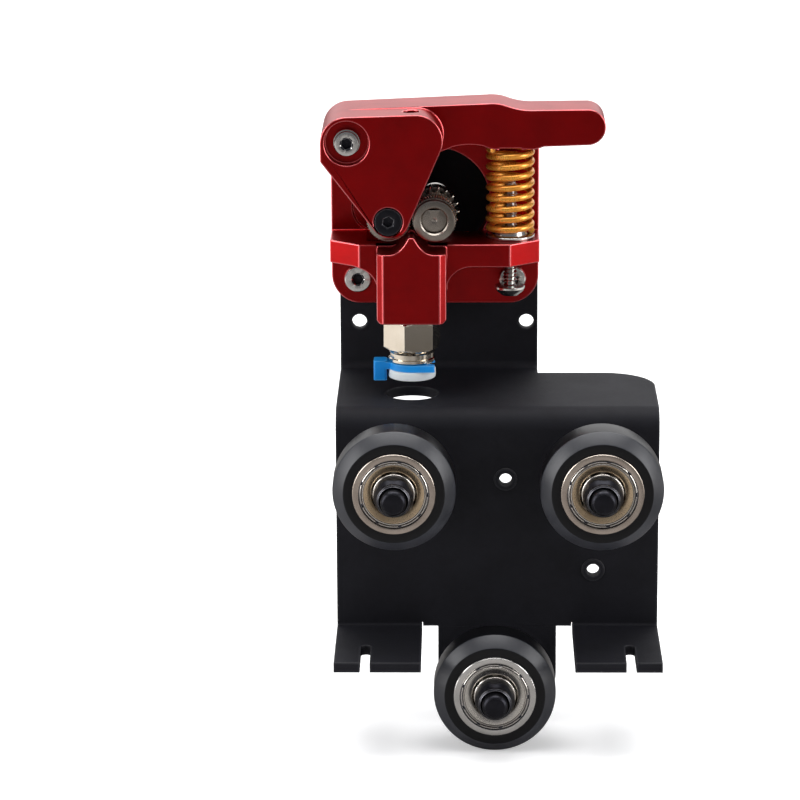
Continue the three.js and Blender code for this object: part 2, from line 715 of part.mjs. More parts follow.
function tensionArm() {
  const { front, back, barFront, cheekBack, slotBack } = ARM;
  const half = front - 1;
  const lever = slab(leverOutline(), -barFront, -back, 6);
  const cheek = slab(cheekOutline(), -front, -back, 6);
  // The gear slot runs the idler's width, and opens to the right, below and to the left.
  const slot = box(-GEAR.spacing - 5.6, 6, -cheekBack, -slotBack, -6, 7.4);
  const topClear = rod(GEAR.tip + 0.6, -cheekBack, -slotBack, -GEAR.spacing, 0, 28);
  const frontWindow = box(0.5, 6, -half, -barFront, -6, 10.2);
  const seatRadius = SPRING.radius + SPRING.wire + 0.4;
  const springSeat = post(seatRadius, 12, SPRING.top + SPRING.wire + 0.1, SPRING.x, SPRING.y, 24);
  const springGuide = post(2.4, 12, SPRING.top + 3, SPRING.x, SPRING.y, 20);
  return cut(
    joined(lever, cheek),
    slot,
    topClear,
    frontWindow,
    springSeat,
    springGuide,
    rod(PIVOT.post + 0.08, -front + PIVOT.counterboreDepth + PIVOT.proud - 0.2, 0, PIVOT.x, PIVOT.z, 28),
    rod(PIVOT.screw + 0.2, -front - 1, 0, PIVOT.x, PIVOT.z, 20),
    rod(PIVOT.counterbore, -front - 1, -front + PIVOT.counterboreDepth, PIVOT.x, PIVOT.z, 28),
    rod(M3.radius + FIT, -front - 1, -back + 1, -GEAR.spacing, 0, 20),
    rod(M3.head, -front - 1, -front + ARM.screwSeat, -GEAR.spacing, 0, 24),
    post(1.6, 0, 30, FILAMENT.x, FILAMENT.y, 16),
  );
}

// ---------------------------------------------------------------- gears and shafts

// A spur gear's outline with straight-sided teeth, its first tooth centred on startAngle.
function spurOutline(startAngle) {
  const { teeth, tip, root } = GEAR;
  const pitch = (2 * Math.PI) / teeth;
  const shape = [];
  for (let i = 0; i < teeth; i += 1) {
    const centre = startAngle + i * pitch;
    for (const [radius, share] of [[root, -0.27], [tip, -0.055], [tip, 0.055], [root, 0.27]]) {
      const angle = centre + share * pitch;
      shape.push([radius * Math.cos(angle), radius * Math.sin(angle)]);
    }
  }
  return polygon(...shape);
}

function driveGear() {
  const { hub, hob, neck, throat, front, hobFront, hobBack, spurFront, spurBack, back } = GEAR;
  const middle = -(hobFront + hobBack) / 2;
  const body = turned(
    [
      [0, -front],
      [hub - 0.35, -front],
      [hub, -front + 0.35],
      [hub, -hobFront],
      [hob, -hobFront],
      [hob, middle - 0.9],
      [throat, middle],
      [hob, middle + 0.9],
      [hob, -hobBack],
      [neck, -hobBack],
      [neck, -spurBack],
      [hub, -spurBack],
      [hub, -back],
      [0, -back],
    ],
  );
  const spur = slab(spurOutline(Math.PI), -spurFront, -spurBack);
  return cut(
    joined(body, spur),
    rod(MOTOR.shaft + 0.03, -front - 1, 0),
    post(GRUB.hole, 0, hub + 1, 0, -(spurBack + back) / 2, 16),
  );
}

function idlerGear() {
  const { hub, hob, neck, throat, hobFront, hobBack, spurFront, spurBack } = GEAR;
  const middle = -(hobFront + hobBack) / 2;
  const front = hobFront + 0.4;
  const body = turned(
    [
      [0, -front],
      [hub - 0.35, -front],
      [hub, -hobFront],
      [hob, -hobFront],
      [hob, middle - 0.9],
      [throat, middle],
      [hob, middle + 0.9],
      [hob, -hobBack],
      [neck, -hobBack],
      [neck, -spurBack],
      [0, -spurBack],
    ],
  );
  const spur = slab(spurOutline(Math.PI / GEAR.teeth), -spurFront, -spurBack);
  return joined(body, spur).subtract(rod(NEEDLES.bore, -front - 1, 0, 0, 0, 24));
}

function needleBearing() {
  const front = -GEAR.hobFront + 0.4;
  const back = -GEAR.spurBack - 0.6;
  const { inner, outer } = NEEDLES;
  return turned([[inner, front], [outer, front], [outer, back], [inner, back]], 16);
}

function idlerScrew() {
  const seat = -ARM.front + ARM.screwSeat - CONTACT;
  const top = -ARM.front - 0.1;
  const end = -ARM.back - 0.6;
  const head = M3.head - 0.1;
  const screw = turned(
    [
      [0, top],
      [head - 0.3, top],
      [head, top + 0.3],
      [head, seat],
      [M3.radius, seat],
      [M3.radius, end],
      [0, end],
    ],
    16,
  );
  return screw.subtract(slab(regular(6, M3.socket, 0.4), top - 1, top + 0.8));
}

function pivotScrew() {
  const { screw, head, headHeight, washerHeight, counterboreDepth } = PIVOT;
  const seat = -ARM.front + counterboreDepth - washerHeight - 0.15;
  const top = seat - headHeight;
  const end = -0.4;
  const turnedScrew = turned(
    [[0, top], [head - 0.3, top], [head, top + 0.3], [head, seat], [screw, seat], [screw, end], [0, end]],
    16,
  );
  return turnedScrew.subtract(slab(regular(6, M3.socket, 0.3), top - 1, top + 0.8));
}

function pivotWasher() {
  const { screw, washer, washerHeight, counterboreDepth } = PIVOT;
  const back = -ARM.front + counterboreDepth - 0.1;
  const front = back - washerHeight;
  const bore = screw + 0.1;
  return turned([[bore, front], [washer, front], [washer, back], [bore, back]], 16);
}

// A stub of the motor's shaft with its flat, held in the drive gear.
function motorShaft() {
  const end = 5;
  const flatFrom = 2;
  const shaft = rod(MOTOR.shaft - 0.02, -GEAR.front + 1, end);
  return shaft.subtract(box(-MOTOR.shaft, MOTOR.shaft, -GEAR.front, -6, flatFrom, MOTOR.shaft + 1));
}

function grubScrew() {
  const y = -(GEAR.spurBack + GEAR.back) / 2;
  const { radius, socket, inner } = GRUB;
  const screw = post(radius, inner, GEAR.hub - 0.2, 0, y, 16);
  return screw.subtract(column(regular(6, socket, 0), 3, 5).translate([0, y, 0]));
}

// ---------------------------------------------------------------- spring and fasteners

class SpringPath extends THREE.Curve {
  getPoint(t, target = new THREE.Vector3()) {
    const { x, y, radius, turns, bottom, top } = SPRING;
    const closing = 0.1; // share of the length at each end that lies flat
    const rise = THREE.MathUtils.clamp((t - closing) / (1 - 2 * closing), 0, 1);
    const flat = SPRING.wire * 2.05 * (Math.min(t, closing) + Math.max(t - 1 + closing, 0)) * turns;
    const climb = top - bottom - 2 * SPRING.wire * 2.05 * closing * turns;
    const angle = t * turns * 2 * Math.PI;
    const height = bottom + flat + climb * rise;
    return target.set(x + radius * Math.cos(angle), y + radius * Math.sin(angle), height);
  }
}

function spring() {
  const section = new THREE.Shape();
  section.absarc(0, 0, SPRING.wire, 0, 2 * Math.PI, false);
  const path = new SpringPath();
  path.arcLengthDivisions = 400;
  return solid(
    new THREE.ExtrudeGeometry(section, {
      extrudePath: path,
      steps: Math.round(SPRING.turns * 12),
      curveSegments: 3,
      bevelEnabled: false,
    }),
  );
}

function tensionScrew() {
  const { radius, head, headHeight, headTop, tip, socket } = TENSION;
  const low = headTop - headHeight;
  const screw = turnedUpright(
    [
      [0, low],
      [head * 0.55, low],
      [head, headTop - 0.5],
      [head, headTop],
      [radius, headTop],
      [radius, tip],
      [0, tip],
    ],
    16, SPRING.x, SPRING.y,
  );
  return screw.subtract(column(regular(6, socket, 0), low - 1, low + 1.1).translate([SPRING.x, SPRING.y, 0]));
}

function springSeat() {
  const low = BEAM.top + CONTACT;
  const high = SPRING.bottom - SPRING.wire - 0.05;
  const bore = TENSION.radius + FIT;
  const flange = 4.9;
  const top = high + 1.6;
  return turnedUpright(
    [[bore, low], [flange, low], [flange, high], [3.4, high], [3.1, top], [bore, top]],
    16, SPRING.x, SPRING.y,
  );
}

function motorScrew(x, z, sunk = 0) {
  const seat = -BASE.flange + sunk - CONTACT;
  const { radius, head, headHeight, socket, reach } = M3;
  const top = seat - headHeight;
  const screw = turned(
    [[0, top], [radius, top], [head, seat - 0.5], [head, seat], [radius, seat], [radius, reach], [0, reach]],
    14, x, z,
  );
  return screw.subtract(slab(regular(6, socket, 0.2, x, z), top - 1, seat - 0.7));
}

// ---------------------------------------------------------------- push fitting

function fittingBody() {
  const { flats, hexHeight, collar, collarHeight, thread, threadLength } = FITTING;
  const top = BLOCK.bottom - CONTACT;
  const hexBottom = top - hexHeight;
  const bottom = hexBottom - collarHeight;
  const hexagon = column(regular(6, flats, degrees(16)), hexBottom, top);
  const cone = post(collar, bottom, hexBottom + 0.1);
  const stem = post(thread, top - 0.1, top + threadLength);
  return cut(
    joined(hexagon, cone, stem),
    post(FILAMENT.bore, bottom - 1, top + threadLength + 1, 0, 0, 16),
    post(COLLET.sleeve + FIT, bottom - 1, top - 1),
  );
}

function fittingCollet() {
  const { flange, flangeHeight, sleeve, bore } = COLLET;
  const bottom = colletBottom();
  const shoulder = bottom + flangeHeight;
  const top = BLOCK.bottom - 2;
  return turnedUpright(
    [
      [bore, bottom],
      [flange - 0.3, bottom],
      [flange, bottom + 0.3],
      [flange, shoulder],
      [sleeve, shoulder],
      [sleeve, top],
      [bore, top],
    ],
    20,
  );
}

function colletBottom() {
  const fittingBottom = BLOCK.bottom - FITTING.hexHeight - FITTING.collarHeight;
  return fittingBottom - CLIP.thickness - 3 * CONTACT - COLLET.flangeHeight;
}

// The U-shaped locking clip between collet flange and fitting, with its finger tab to the left.
function colletClip() {
  const { thickness, outer, width, reach, handleDrop, limb } = CLIP;
  const top = BLOCK.bottom - FITTING.hexHeight - FITTING.collarHeight - 2 * CONTACT;
  const bottom = top - thickness + CONTACT;
  const inner = COLLET.sleeve + 0.1;
  const ring = post(outer, bottom, top, 0, 0, 28).subtract(post(inner, bottom - 1, top + 1, 0, 0, 24));
  const mouth = box(0.8, outer + 1, -inner, inner, bottom - 1, top + 1);
  const limbs = [box(0, limb, -outer, -inner, bottom, top), box(0, limb, inner, outer, bottom, top)];
  const neck = box(-reach, -inner - 0.4, -width / 2, width / 2, bottom, top);
  const handle = box(-reach - 0.2, -reach + 2.4, -width / 2, width / 2, bottom - handleDrop, top + 0.25);
  return joined(ring.subtract(mouth), ...limbs, neck, handle);
}

// ---------------------------------------------------------------- the whole part

function extruder() {
  const { holes } = MOTOR;
  const idler = assembly(
    -GEAR.spacing, 0, 0,
    part("idler_gear", idlerGear(), gearSteel),
    part("idler_needle_bearing", needleBearing(), bearingSteel),
    part("idler_screw", idlerScrew(), blackOxide),
  );
  const pivot = assembly(
    PIVOT.x, 0, PIVOT.z,
    part("pivot_screw", pivotScrew(), stainless),
    part("pivot_washer", pivotWasher(), stainless),
  );
  const fitting = assembly(
    FILAMENT.x, FILAMENT.y, 0,
    part("fitting_body", fittingBody(), nickel),
    part("fitting_collet", fittingCollet(), whitePlastic),
    part("collet_clip", colletClip(), bluePlastic),
  );
  return assembly(
    MOTOR.x, PLATE.upperFront, MOTOR.z,
    part("extruder_base", extruderBase(), redAnodised),
    part("tension_arm", tensionArm(), redAnodised),
    part("drive_gear", driveGear(), gearSteel),
    part("drive_gear_grub_screw", grubScrew(), blackOxide),
    part("motor_shaft_stub", motorShaft(), stainless),
    part("tension_spring", spring(), springSteel),
    part("tension_screw", tensionScrew(), stainless),
    part("spring_seat_nut", springSeat(), stainless),
    part("motor_screw_lower_left", motorScrew(-holes, -holes), stainless),
    part("motor_screw_lower_right", motorScrew(holes, -holes), stainless),
    part("motor_screw_upper_right", motorScrew(holes, holes, BASE.sunk), stainless),
    idler,
    pivot,
    fitting,
  );
}

const extruderCarriage = assembly(
  0, 0, 0,
  part("carriage_plate", carriagePlate(), blackPowder),
  wheels(),
  extruder(),
);
extruderCarriage.name = "extruder_carriage";

export default extruderCarriage;
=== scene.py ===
import json
import math
from types import SimpleNamespace as Sizes

import bmesh
import bpy
from mathutils import Matrix, Vector

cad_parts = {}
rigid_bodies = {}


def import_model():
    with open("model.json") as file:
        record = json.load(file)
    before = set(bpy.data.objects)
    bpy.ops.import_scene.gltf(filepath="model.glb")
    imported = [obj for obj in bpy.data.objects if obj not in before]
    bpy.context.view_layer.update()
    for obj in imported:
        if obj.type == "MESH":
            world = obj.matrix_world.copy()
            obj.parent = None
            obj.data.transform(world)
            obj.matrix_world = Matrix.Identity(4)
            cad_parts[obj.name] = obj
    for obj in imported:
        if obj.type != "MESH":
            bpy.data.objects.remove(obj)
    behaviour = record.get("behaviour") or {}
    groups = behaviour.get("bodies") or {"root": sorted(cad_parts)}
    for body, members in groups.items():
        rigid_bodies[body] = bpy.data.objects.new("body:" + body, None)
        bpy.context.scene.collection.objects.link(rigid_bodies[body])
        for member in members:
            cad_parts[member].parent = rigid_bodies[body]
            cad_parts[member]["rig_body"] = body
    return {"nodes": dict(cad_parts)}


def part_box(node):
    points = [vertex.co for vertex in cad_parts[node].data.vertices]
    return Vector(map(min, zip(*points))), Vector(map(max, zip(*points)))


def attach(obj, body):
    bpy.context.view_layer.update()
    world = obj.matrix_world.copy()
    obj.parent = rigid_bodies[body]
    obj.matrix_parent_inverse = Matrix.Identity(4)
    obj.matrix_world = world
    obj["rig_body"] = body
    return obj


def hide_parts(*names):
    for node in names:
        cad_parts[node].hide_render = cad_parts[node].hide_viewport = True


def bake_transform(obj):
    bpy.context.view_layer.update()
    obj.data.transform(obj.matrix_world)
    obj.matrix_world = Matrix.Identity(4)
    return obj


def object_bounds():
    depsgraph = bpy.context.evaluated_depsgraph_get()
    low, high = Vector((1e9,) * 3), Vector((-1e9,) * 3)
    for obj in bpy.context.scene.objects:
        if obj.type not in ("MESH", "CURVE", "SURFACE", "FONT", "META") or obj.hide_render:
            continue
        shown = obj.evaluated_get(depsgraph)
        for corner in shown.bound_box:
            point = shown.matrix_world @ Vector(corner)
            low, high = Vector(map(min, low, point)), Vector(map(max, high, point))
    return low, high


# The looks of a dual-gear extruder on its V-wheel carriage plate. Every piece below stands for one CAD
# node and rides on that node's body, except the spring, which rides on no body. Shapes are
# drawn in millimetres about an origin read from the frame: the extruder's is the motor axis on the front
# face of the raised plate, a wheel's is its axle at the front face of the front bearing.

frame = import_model()
cad_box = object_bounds()

MM = 0.001
FULL = 2 * math.pi

# ---------------- driving dimensions, millimetres

CONTACT = 0.02  # the gap between pieces that touch
LAP = 1  # how far a cut, or a solid to be joined, reaches past a face
SHEET = 2
PLATE = Sizes(
    front_bend=4, back_bend=1.6, tab_bend=0.6, relief=0.16, upper_right=8.4, shelf_right_depth=27.6,
    shelf_corner=10, top_corner=5, tongue_half=11.7, tab_inner=14.7, notch_top=-12.6, tongue_bottom=-29.4,
    tongue_corner=7, shelf_top=31.6, tab_top=-12.4, slot_centre=25.7, slot_width=1.9, slot_start=14.4,
    axle_hole=2.6, eccentric_hole=3.56, tapped_hole=1.25, collar=2.25, tapped=[(1.6, 17.7), (18.9, -0.9)],
    tube_hole=5.25, spare_hole=1.5, spares=[(-27.8, 41.3), (6.1, 41.3)], shaft_hole=2.85, screw_hole=1.6,
)
TYRE = Sizes(side=9.75, outer=11.9, rim=5.9, width=10.2, seat=8.02, rib=7.15)
BEARING = Sizes(outer=8, width=5, land=6.75, inner=4.05, bore=2.54, ball=1.15, balls=8)
SHIM = Sizes(thick=1, bore=2.52, outer=4.6)
AXLE = Sizes(radius=2.45, pitch=0.8, head=4.7, head_height=2.6, nut=4.6, flats=7.4, collar=3.2, skirt=3.85)
SPACER = Sizes(length=7, wide=4.9, narrow=3.6, nose=1)
ECCENTRIC = Sizes(flats=10, corner=5.3, face=4.75, boss=3.5, shoulder=3.6, turn=0.2)
AXLE_BORE = AXLE.radius + 0.06
MOTOR_HOLE = 15.5
MOTOR_SCREWS = {
    "lower_left": (-MOTOR_HOLE, -MOTOR_HOLE),
    "lower_right": (MOTOR_HOLE, -MOTOR_HOLE),
    "upper_right": (MOTOR_HOLE, MOTOR_HOLE),
}
BASE = Sizes(
    half=20.8, top=19.2, flange=5.5, opening=11.05, screw_recess=3.1, post=3.2, pivot_bore=1.31,
    filament_bore=1, fitting_bore=4.76, fitting_depth=7.3, tension_bore=1.51,
)
BEAM = Sizes(top=-5.7, bottom=-10.3, front=19.1, across=5.9, deep=4.6)
BLOCK = Sizes(half=6.8, front=26.7, back=13.1, bottom=-20.1, edge=1.2, peak=-2.7, shoulder=-6.1)
SPACING = 9
GEAR = Sizes(
    teeth=18, tip=4.95, root=3.9, hub=4.15, hob=4.35, neck=3.5, throat=3.75, bore=2.54, grub_hole=1.3,
)
SHAFT = Sizes(radius=2.48, flat=2, flat_end=-6, end=5)
GEAR_Y = Sizes(front=-23.7, hob_front=-22, hob_back=-18, spur_front=-14.8, spur_back=-10.8, back=-7.3)
FILAMENT = (-4.5, -20)
PIVOT = (-17, 15.6)
SWING = 8
LOWER_HOLE = -20.55
ARM = Sizes(
    front=-24.5, back=-6.1, bar_front=-16.5, cheek_back=-22.6, slot_back=-10.3, round=5.2, pivot_bore=3.28,
    pivot_screw=1.45, pivot_recess=4.35, idler_screw=1.56, idler_recess=2.85, filament_bore=1.6, tip_bore=2.4,
)
SPRING = Sizes(x=14.95, y=-11.7, radius=4.25, wire=0.62, turns=8.6, bottom=-4.4, top=12.3)
FITTING = Sizes(flats=10, hex=6.2, collar=4.75, collar_height=2.6, turn=math.radians(16))


# ---------------- outlines

def steps(start, end, count):
    """Even steps from start to end, both included."""
    return [start + (end - start) * i / count for i in range(count + 1)]


def arc(cx, cy, radius, start, end, step=5):
    """Points of an arc between two angles in degrees, both ends included."""
    angles = map(math.radians, steps(start, end, max(2, round(abs(end - start) / step))))
    return [(cx + radius * math.cos(a), cy + radius * math.sin(a)) for a in angles]


def curve(start, bend, end, count=10):
    """Points of a quadratic curve, without its first one."""
    points = []
    for t in steps(0, 1, count)[1:]:
        parts = zip(start, bend, end)
        points.append(tuple((1 - t) ** 2 * a + 2 * t * (1 - t) * b + t * t * c for a, b, c in parts))
    return points


def rounded(x0, x1, z0, z1, low_left, low_right, high_right, high_left):
    """A rectangle with its four corner radii."""
    return (
        arc(x0 + low_left, z0 + low_left, low_left, 180, 270)
        + arc(x1 - low_right, z0 + low_right, low_right, 270, 360)
        + arc(x1 - high_right, z1 - high_right, high_right, 0, 90)
        + arc(x0 + high_left, z1 - high_left, high_left, 90, 180)
    )


def eased(profile, size, closed):
    """The profile with each plain corner cut back and rounded."""
    result = []
    count = len(profile)
    for i, point in enumerate(profile):
        before = profile[i - 1] if i or closed else None
        after = profile[(i + 1) % count] if i + 1 < count or closed else None
        if before is None or after is None or any(callable(p[0]) for p in (before, point, after)):
            result.append(point)
            continue
        here, back, ahead = Vector(point), Vector(before), Vector(after)
        cut = min(size, 0.4 * (back - here).length, 0.4 * (ahead - here).length)
        if cut < 1e-4 or (back - here).angle(ahead - here) > math.radians(165):
            result.append(point)
            continue
        first = here + (back - here).normalized() * cut
        last = here + (ahead - here).normalized() * cut
        result.append(tuple(first))
        result += curve(tuple(first), tuple(here), tuple(last), 3)
    return result


# ---------------- meshes

def linked(name, bm):
    mesh = bpy.data.meshes.new(name)
    bmesh.ops.remove_doubles(bm, verts=bm.verts, dist=1e-7)
    bmesh.ops.recalc_face_normals(bm, faces=bm.faces)
    bm.to_mesh(mesh)
    bm.free()
    obj = bpy.data.objects.new(name, mesh)
    bpy.context.scene.collection.objects.link(obj)
    return obj


def soften(mesh, angle):
    """Smooth faces, with sharp edges kept where two faces meet at more than the angle."""
    bm = bmesh.new()
    bm.from_mesh(mesh)
    limit = math.radians(angle)
    for face in bm.faces:
        face.smooth = True
    for edge in bm.edges:
        edge.smooth = len(edge.link_faces) == 2 and edge.calc_face_angle(0) < limit
    bm.to_mesh(mesh)
    bm.free()


def placed(radius, along, angle, axis):
    x, y = radius * math.cos(angle) * MM, radius * math.sin(angle) * MM
    return (x, along * MM, y) if axis == "Y" else (x, y, along * MM)


def join_rings(bm, rings, slot=0):
    """Joins rings of vertices, each to the next one, by a band of faces."""
    for low, high in zip(rings, rings[1:]):
        for j in range(len(low)):
            k = (j + 1) % len(low)
            bm.faces.new((low[j], low[k], high[k], high[j])).material_index = slot


def turn_into(bm, profile, axis="Y", segments=96, closed=False, turn=0, ease=0.0, slot=0, offset=(0, 0)):
    """Adds a turned body to bm, from rows of (radius, along). A radius may be a function of the angle."""
    rows = []
    for radius, along in eased(profile, ease, closed) if ease else profile:
        if radius == 0:
            rows.append([bm.verts.new(placed(0, along, 0, axis))])
            continue
        ring = []
        for i in range(segments):
            angle = FULL * i / segments
            reach = radius(angle) if callable(radius) else radius
            ring.append(bm.verts.new(placed(reach, along, angle + turn, axis)))
        rows.append(ring)
    if closed:
        rows.append(rows[0])
    for low, high in zip(rows, rows[1:]):
        for i in range(segments):
            j = (i + 1) % segments
            corners = [low[i % len(low)], low[j % len(low)], high[j % len(high)], high[i % len(high)]]
            face = bm.faces.new(list(dict.fromkeys(corners)))
            face.material_index = slot
    moved = set(vertex for row in rows for vertex in row)
    shift = (offset[0], 0, offset[1]) if axis == "Y" else (offset[0], offset[1], 0)
    bmesh.ops.translate(bm, verts=list(moved), vec=Vector(shift) * MM)


def wire_into(bm, path, thick, sides=10, axis="Y", slot=0):
    """Adds a round wire with flat ends along a path of (angle, radius, along) points about the axis."""
    rings = []
    for angle, radius, along in path:
        ring = []
        for a in steps(0, FULL, sides)[:-1]:
            out, side = radius + thick * math.cos(a), along + thick * math.sin(a)
            ring.append(bm.verts.new(placed(out, side, angle, axis)))
        rings.append(ring)
    join_rings(bm, rings, slot)
    for end in (rings[0], rings[-1]):
        bm.faces.new(end).material_index = slot


def turned(name, profile, **how):
    bm = bmesh.new()
    turn_into(bm, profile, **how)
    return linked(name, bm)


def prism(outline, axis, low, high, name="tool"):
    """An outline given thickness along an axis: Y takes (x, z) points, Z takes (x, y), X takes (y, z)."""
    bm = bmesh.new()
    place = {
        "X": lambda a, b, c: (c * MM, a * MM, b * MM),
        "Y": lambda a, b, c: (a * MM, c * MM, b * MM),
        "Z": lambda a, b, c: (a * MM, b * MM, c * MM),
    }[axis]
    clean = [p for i, p in enumerate(outline) if math.dist(p, outline[i - 1]) > 1e-4]
    near = [bm.verts.new(place(a, b, low)) for a, b in clean]
    far = [bm.verts.new(place(a, b, high)) for a, b in clean]
    bm.faces.new(near)
    bm.faces.new(far)
    for i in range(len(clean)):
        bm.faces.new((near[i - 1], near[i], far[i], far[i - 1]))
    return linked(name, bm)


def box(x0, x1, y0, y1, z0, z1):
    return prism([(x0, z0), (x1, z0), (x1, z1), (x0, z1)], "Y", y0, y1)


def rod(radius, y0, y1, x=0.0, z=0.0, step=5):
    return prism(arc(x, z, radius, 0, 360, step)[:-1], "Y", y0, y1)


def post(radius, z0, z1, x=0.0, y=0.0, step=5):
    return prism(arc(x, y, radius, 0, 360, step)[:-1], "Z", z0, z1)


def settle(obj):
    """Applies every modifier of obj to its mesh."""
    graph = bpy.context.evaluated_depsgraph_get()
    mesh = bpy.data.meshes.new_from_object(obj.evaluated_get(graph))
    obj.modifiers.clear()
    obj.data = mesh
    return obj


def combine(base, operation, *tools):
    for tool in tools:
        step = base.modifiers.new(operation.lower(), "BOOLEAN")
        step.operation = operation
        step.solver = "EXACT"
        step.object = tool
        settle(base)
        bpy.data.objects.remove(tool)
    return base


def tidy(obj):
    """Merges the flat faces that the booleans split."""
    bm = bmesh.new()
    bm.from_mesh(obj.data)
    bmesh.ops.remove_doubles(bm, verts=bm.verts, dist=2e-6)
    bmesh.ops.dissolve_limit(bm, angle_limit=math.radians(0.4), verts=bm.verts, edges=bm.edges)
    bm.to_mesh(obj.data)
    bm.free()
    return obj


def chamfer(obj, width, segments=2, limit=30, clamped=False):
    """Breaks every sharp edge. The new faces take the second material, which for the red parts and the plate
    is a lighter copy of the first that paints a highlight along the edges.
    """
    edges = obj.modifiers.new("edges", "BEVEL")
    edges.width = width * MM
    edges.segments = segments
    edges.limit_method = "ANGLE"
    edges.angle_limit = math.radians(limit)
    edges.use_clamp_overlap = clamped
    edges.miter_outer = "MITER_SHARP" if clamped else "MITER_ARC"
    edges.material = 1
    weights = obj.modifiers.new("weights", "WEIGHTED_NORMAL")
    weights.weight = 100
    weights.keep_sharp = False
    for polygon in obj.data.polygons:
        polygon.use_smooth = True
    return settle(obj)


def hexagon(flats):
    """Radius of a hexagon as a function of the angle, with a corner at angle 0."""
    return lambda angle: flats / 2 / math.cos(angle % (FULL / 6) - FULL / 12)


def capped_hexagon(flats, radius):
    flat = hexagon(flats)
    return lambda angle: min(flat(angle), radius)


def ring_section(inner, outer, low, high):
    """Profile rows of a plain ring."""
    return [(inner, low), (outer, low), (outer, high), (inner, high)]


def thread(core, crest, pitch, start, end, rows_per_turn=8):
    """Profile rows of a helical thread from start to end, run out at both of its ends."""
    rows = []
    count = round(abs(end - start) / pitch * rows_per_turn)
    for i, along in enumerate(steps(start, end, count)):
        share = min(1, i / rows_per_turn, (count - i) / rows_per_turn)

        def radius(angle, along=along, share=share):
            wave = abs(2 * ((along / pitch - angle / FULL) % 1) - 1)
            return core + (crest - core) * share * wave

        rows.append((radius, along))
    return rows


# ---------------- materials

def shade(red, green, blue):
    """Scene colour of an 8-bit display colour."""
    def linear(value):
        value /= 255
        return value / 12.92 if value <= 0.04045 else ((value + 0.055) / 1.055) ** 2.4
    return (linear(red), linear(green), linear(blue), 1)


class Graph:
    """A material's nodes, added and joined in one call each."""

    def __init__(self, name):
        self.material = bpy.data.materials.new(name)
        self.material.use_nodes = True
        self.tree = self.material.node_tree
        self.surface = self.tree.nodes["Principled BSDF"]

    def add(self, kind, settings=None, **inputs):
        node = self.tree.nodes.new(f"ShaderNode{kind}")
        for name, value in (settings or {}).items():
            setattr(node, name, value)
        for name, value in inputs.items():
            key = int(name[1:]) if name[1:].isdigit() else name.replace("_", " ")
            self.feed(node.inputs[key], value)
        return node

    def feed(self, socket, value):
        if isinstance(value, bpy.types.NodeSocket):
            self.tree.links.new(value, socket)
        else:
            socket.default_value = value

    def maths(self, operation, first, second=0.0, clamp=False):
        settings = {"operation": operation, "use_clamp": clamp}
        return self.add("Math", settings, i0=first, i1=second).outputs[0]

    def blend(self, share, first, second):
        node = self.add("Mix", {"data_type": "RGBA"}, i0=share)
        self.feed(node.inputs[6], first)
        self.feed(node.inputs[7], second)
        return node.outputs[2]

    def noise(self, size, detail=3.0, roughness=0.6):
        """Noise whose grains are about size millimetres across."""
        place = self.add("TexCoord").outputs["Object"]
        look = {"Scale": 1 / (size * MM), "Detail": detail, "Roughness": roughness}
        return self.add("TexNoise", None, Vector=place, **look).outputs["Fac"]

    def stretched_noise(self, size, stretch):
        """Noise drawn out into streaks: stretch multiplies its size along x, y and z."""
        place = self.add("TexCoord").outputs["Object"]
        scale = tuple(1 / (size * MM * s) for s in stretch)
        mapped = self.add("Mapping", None, Vector=place, Scale=scale).outputs[0]
        return self.add("TexNoise", None, Vector=mapped, Scale=1.0, Detail=2.0).outputs["Fac"]

    def rings(self, pitch, axis):
        """Fine lathe marks around the piece's own axis."""
        place = self.add("TexCoord").outputs["Object"]
        split = self.add("SeparateXYZ", None, Vector=place).outputs
        across = split["Z"] if axis == "Y" else split["Y"]
        flat = self.add("CombineXYZ", None, X=split["X"], Y=across).outputs[0]
        radius = self.add("VectorMath", {"operation": "LENGTH"}, i0=flat).outputs["Value"]
        along = split[axis]
        spread = self.maths("ADD", radius, self.maths("MULTIPLY", along, 0.7))
        wave = self.maths("SINE", self.maths("MULTIPLY", spread, FULL / (pitch * MM)))
        coarse = self.maths("SINE", self.maths("MULTIPLY", spread, FULL / (pitch * 3.7 * MM)))
        return self.maths("ADD", self.maths("MULTIPLY", wave, 0.3), self.maths("MULTIPLY", coarse, 0.2))

    def convex_edges(self, reach, gain):
        """1 along outer edges and 0 on flat faces, from how close the inside of the solid is."""
        settings = {"samples": 6, "inside": True, "only_local": True}
        open_share = self.add("AmbientOcclusion", settings, Distance=reach * MM).outputs["AO"]
        return self.maths("MULTIPLY", self.maths("SUBTRACT", 1.0, open_share), gain, clamp=True)


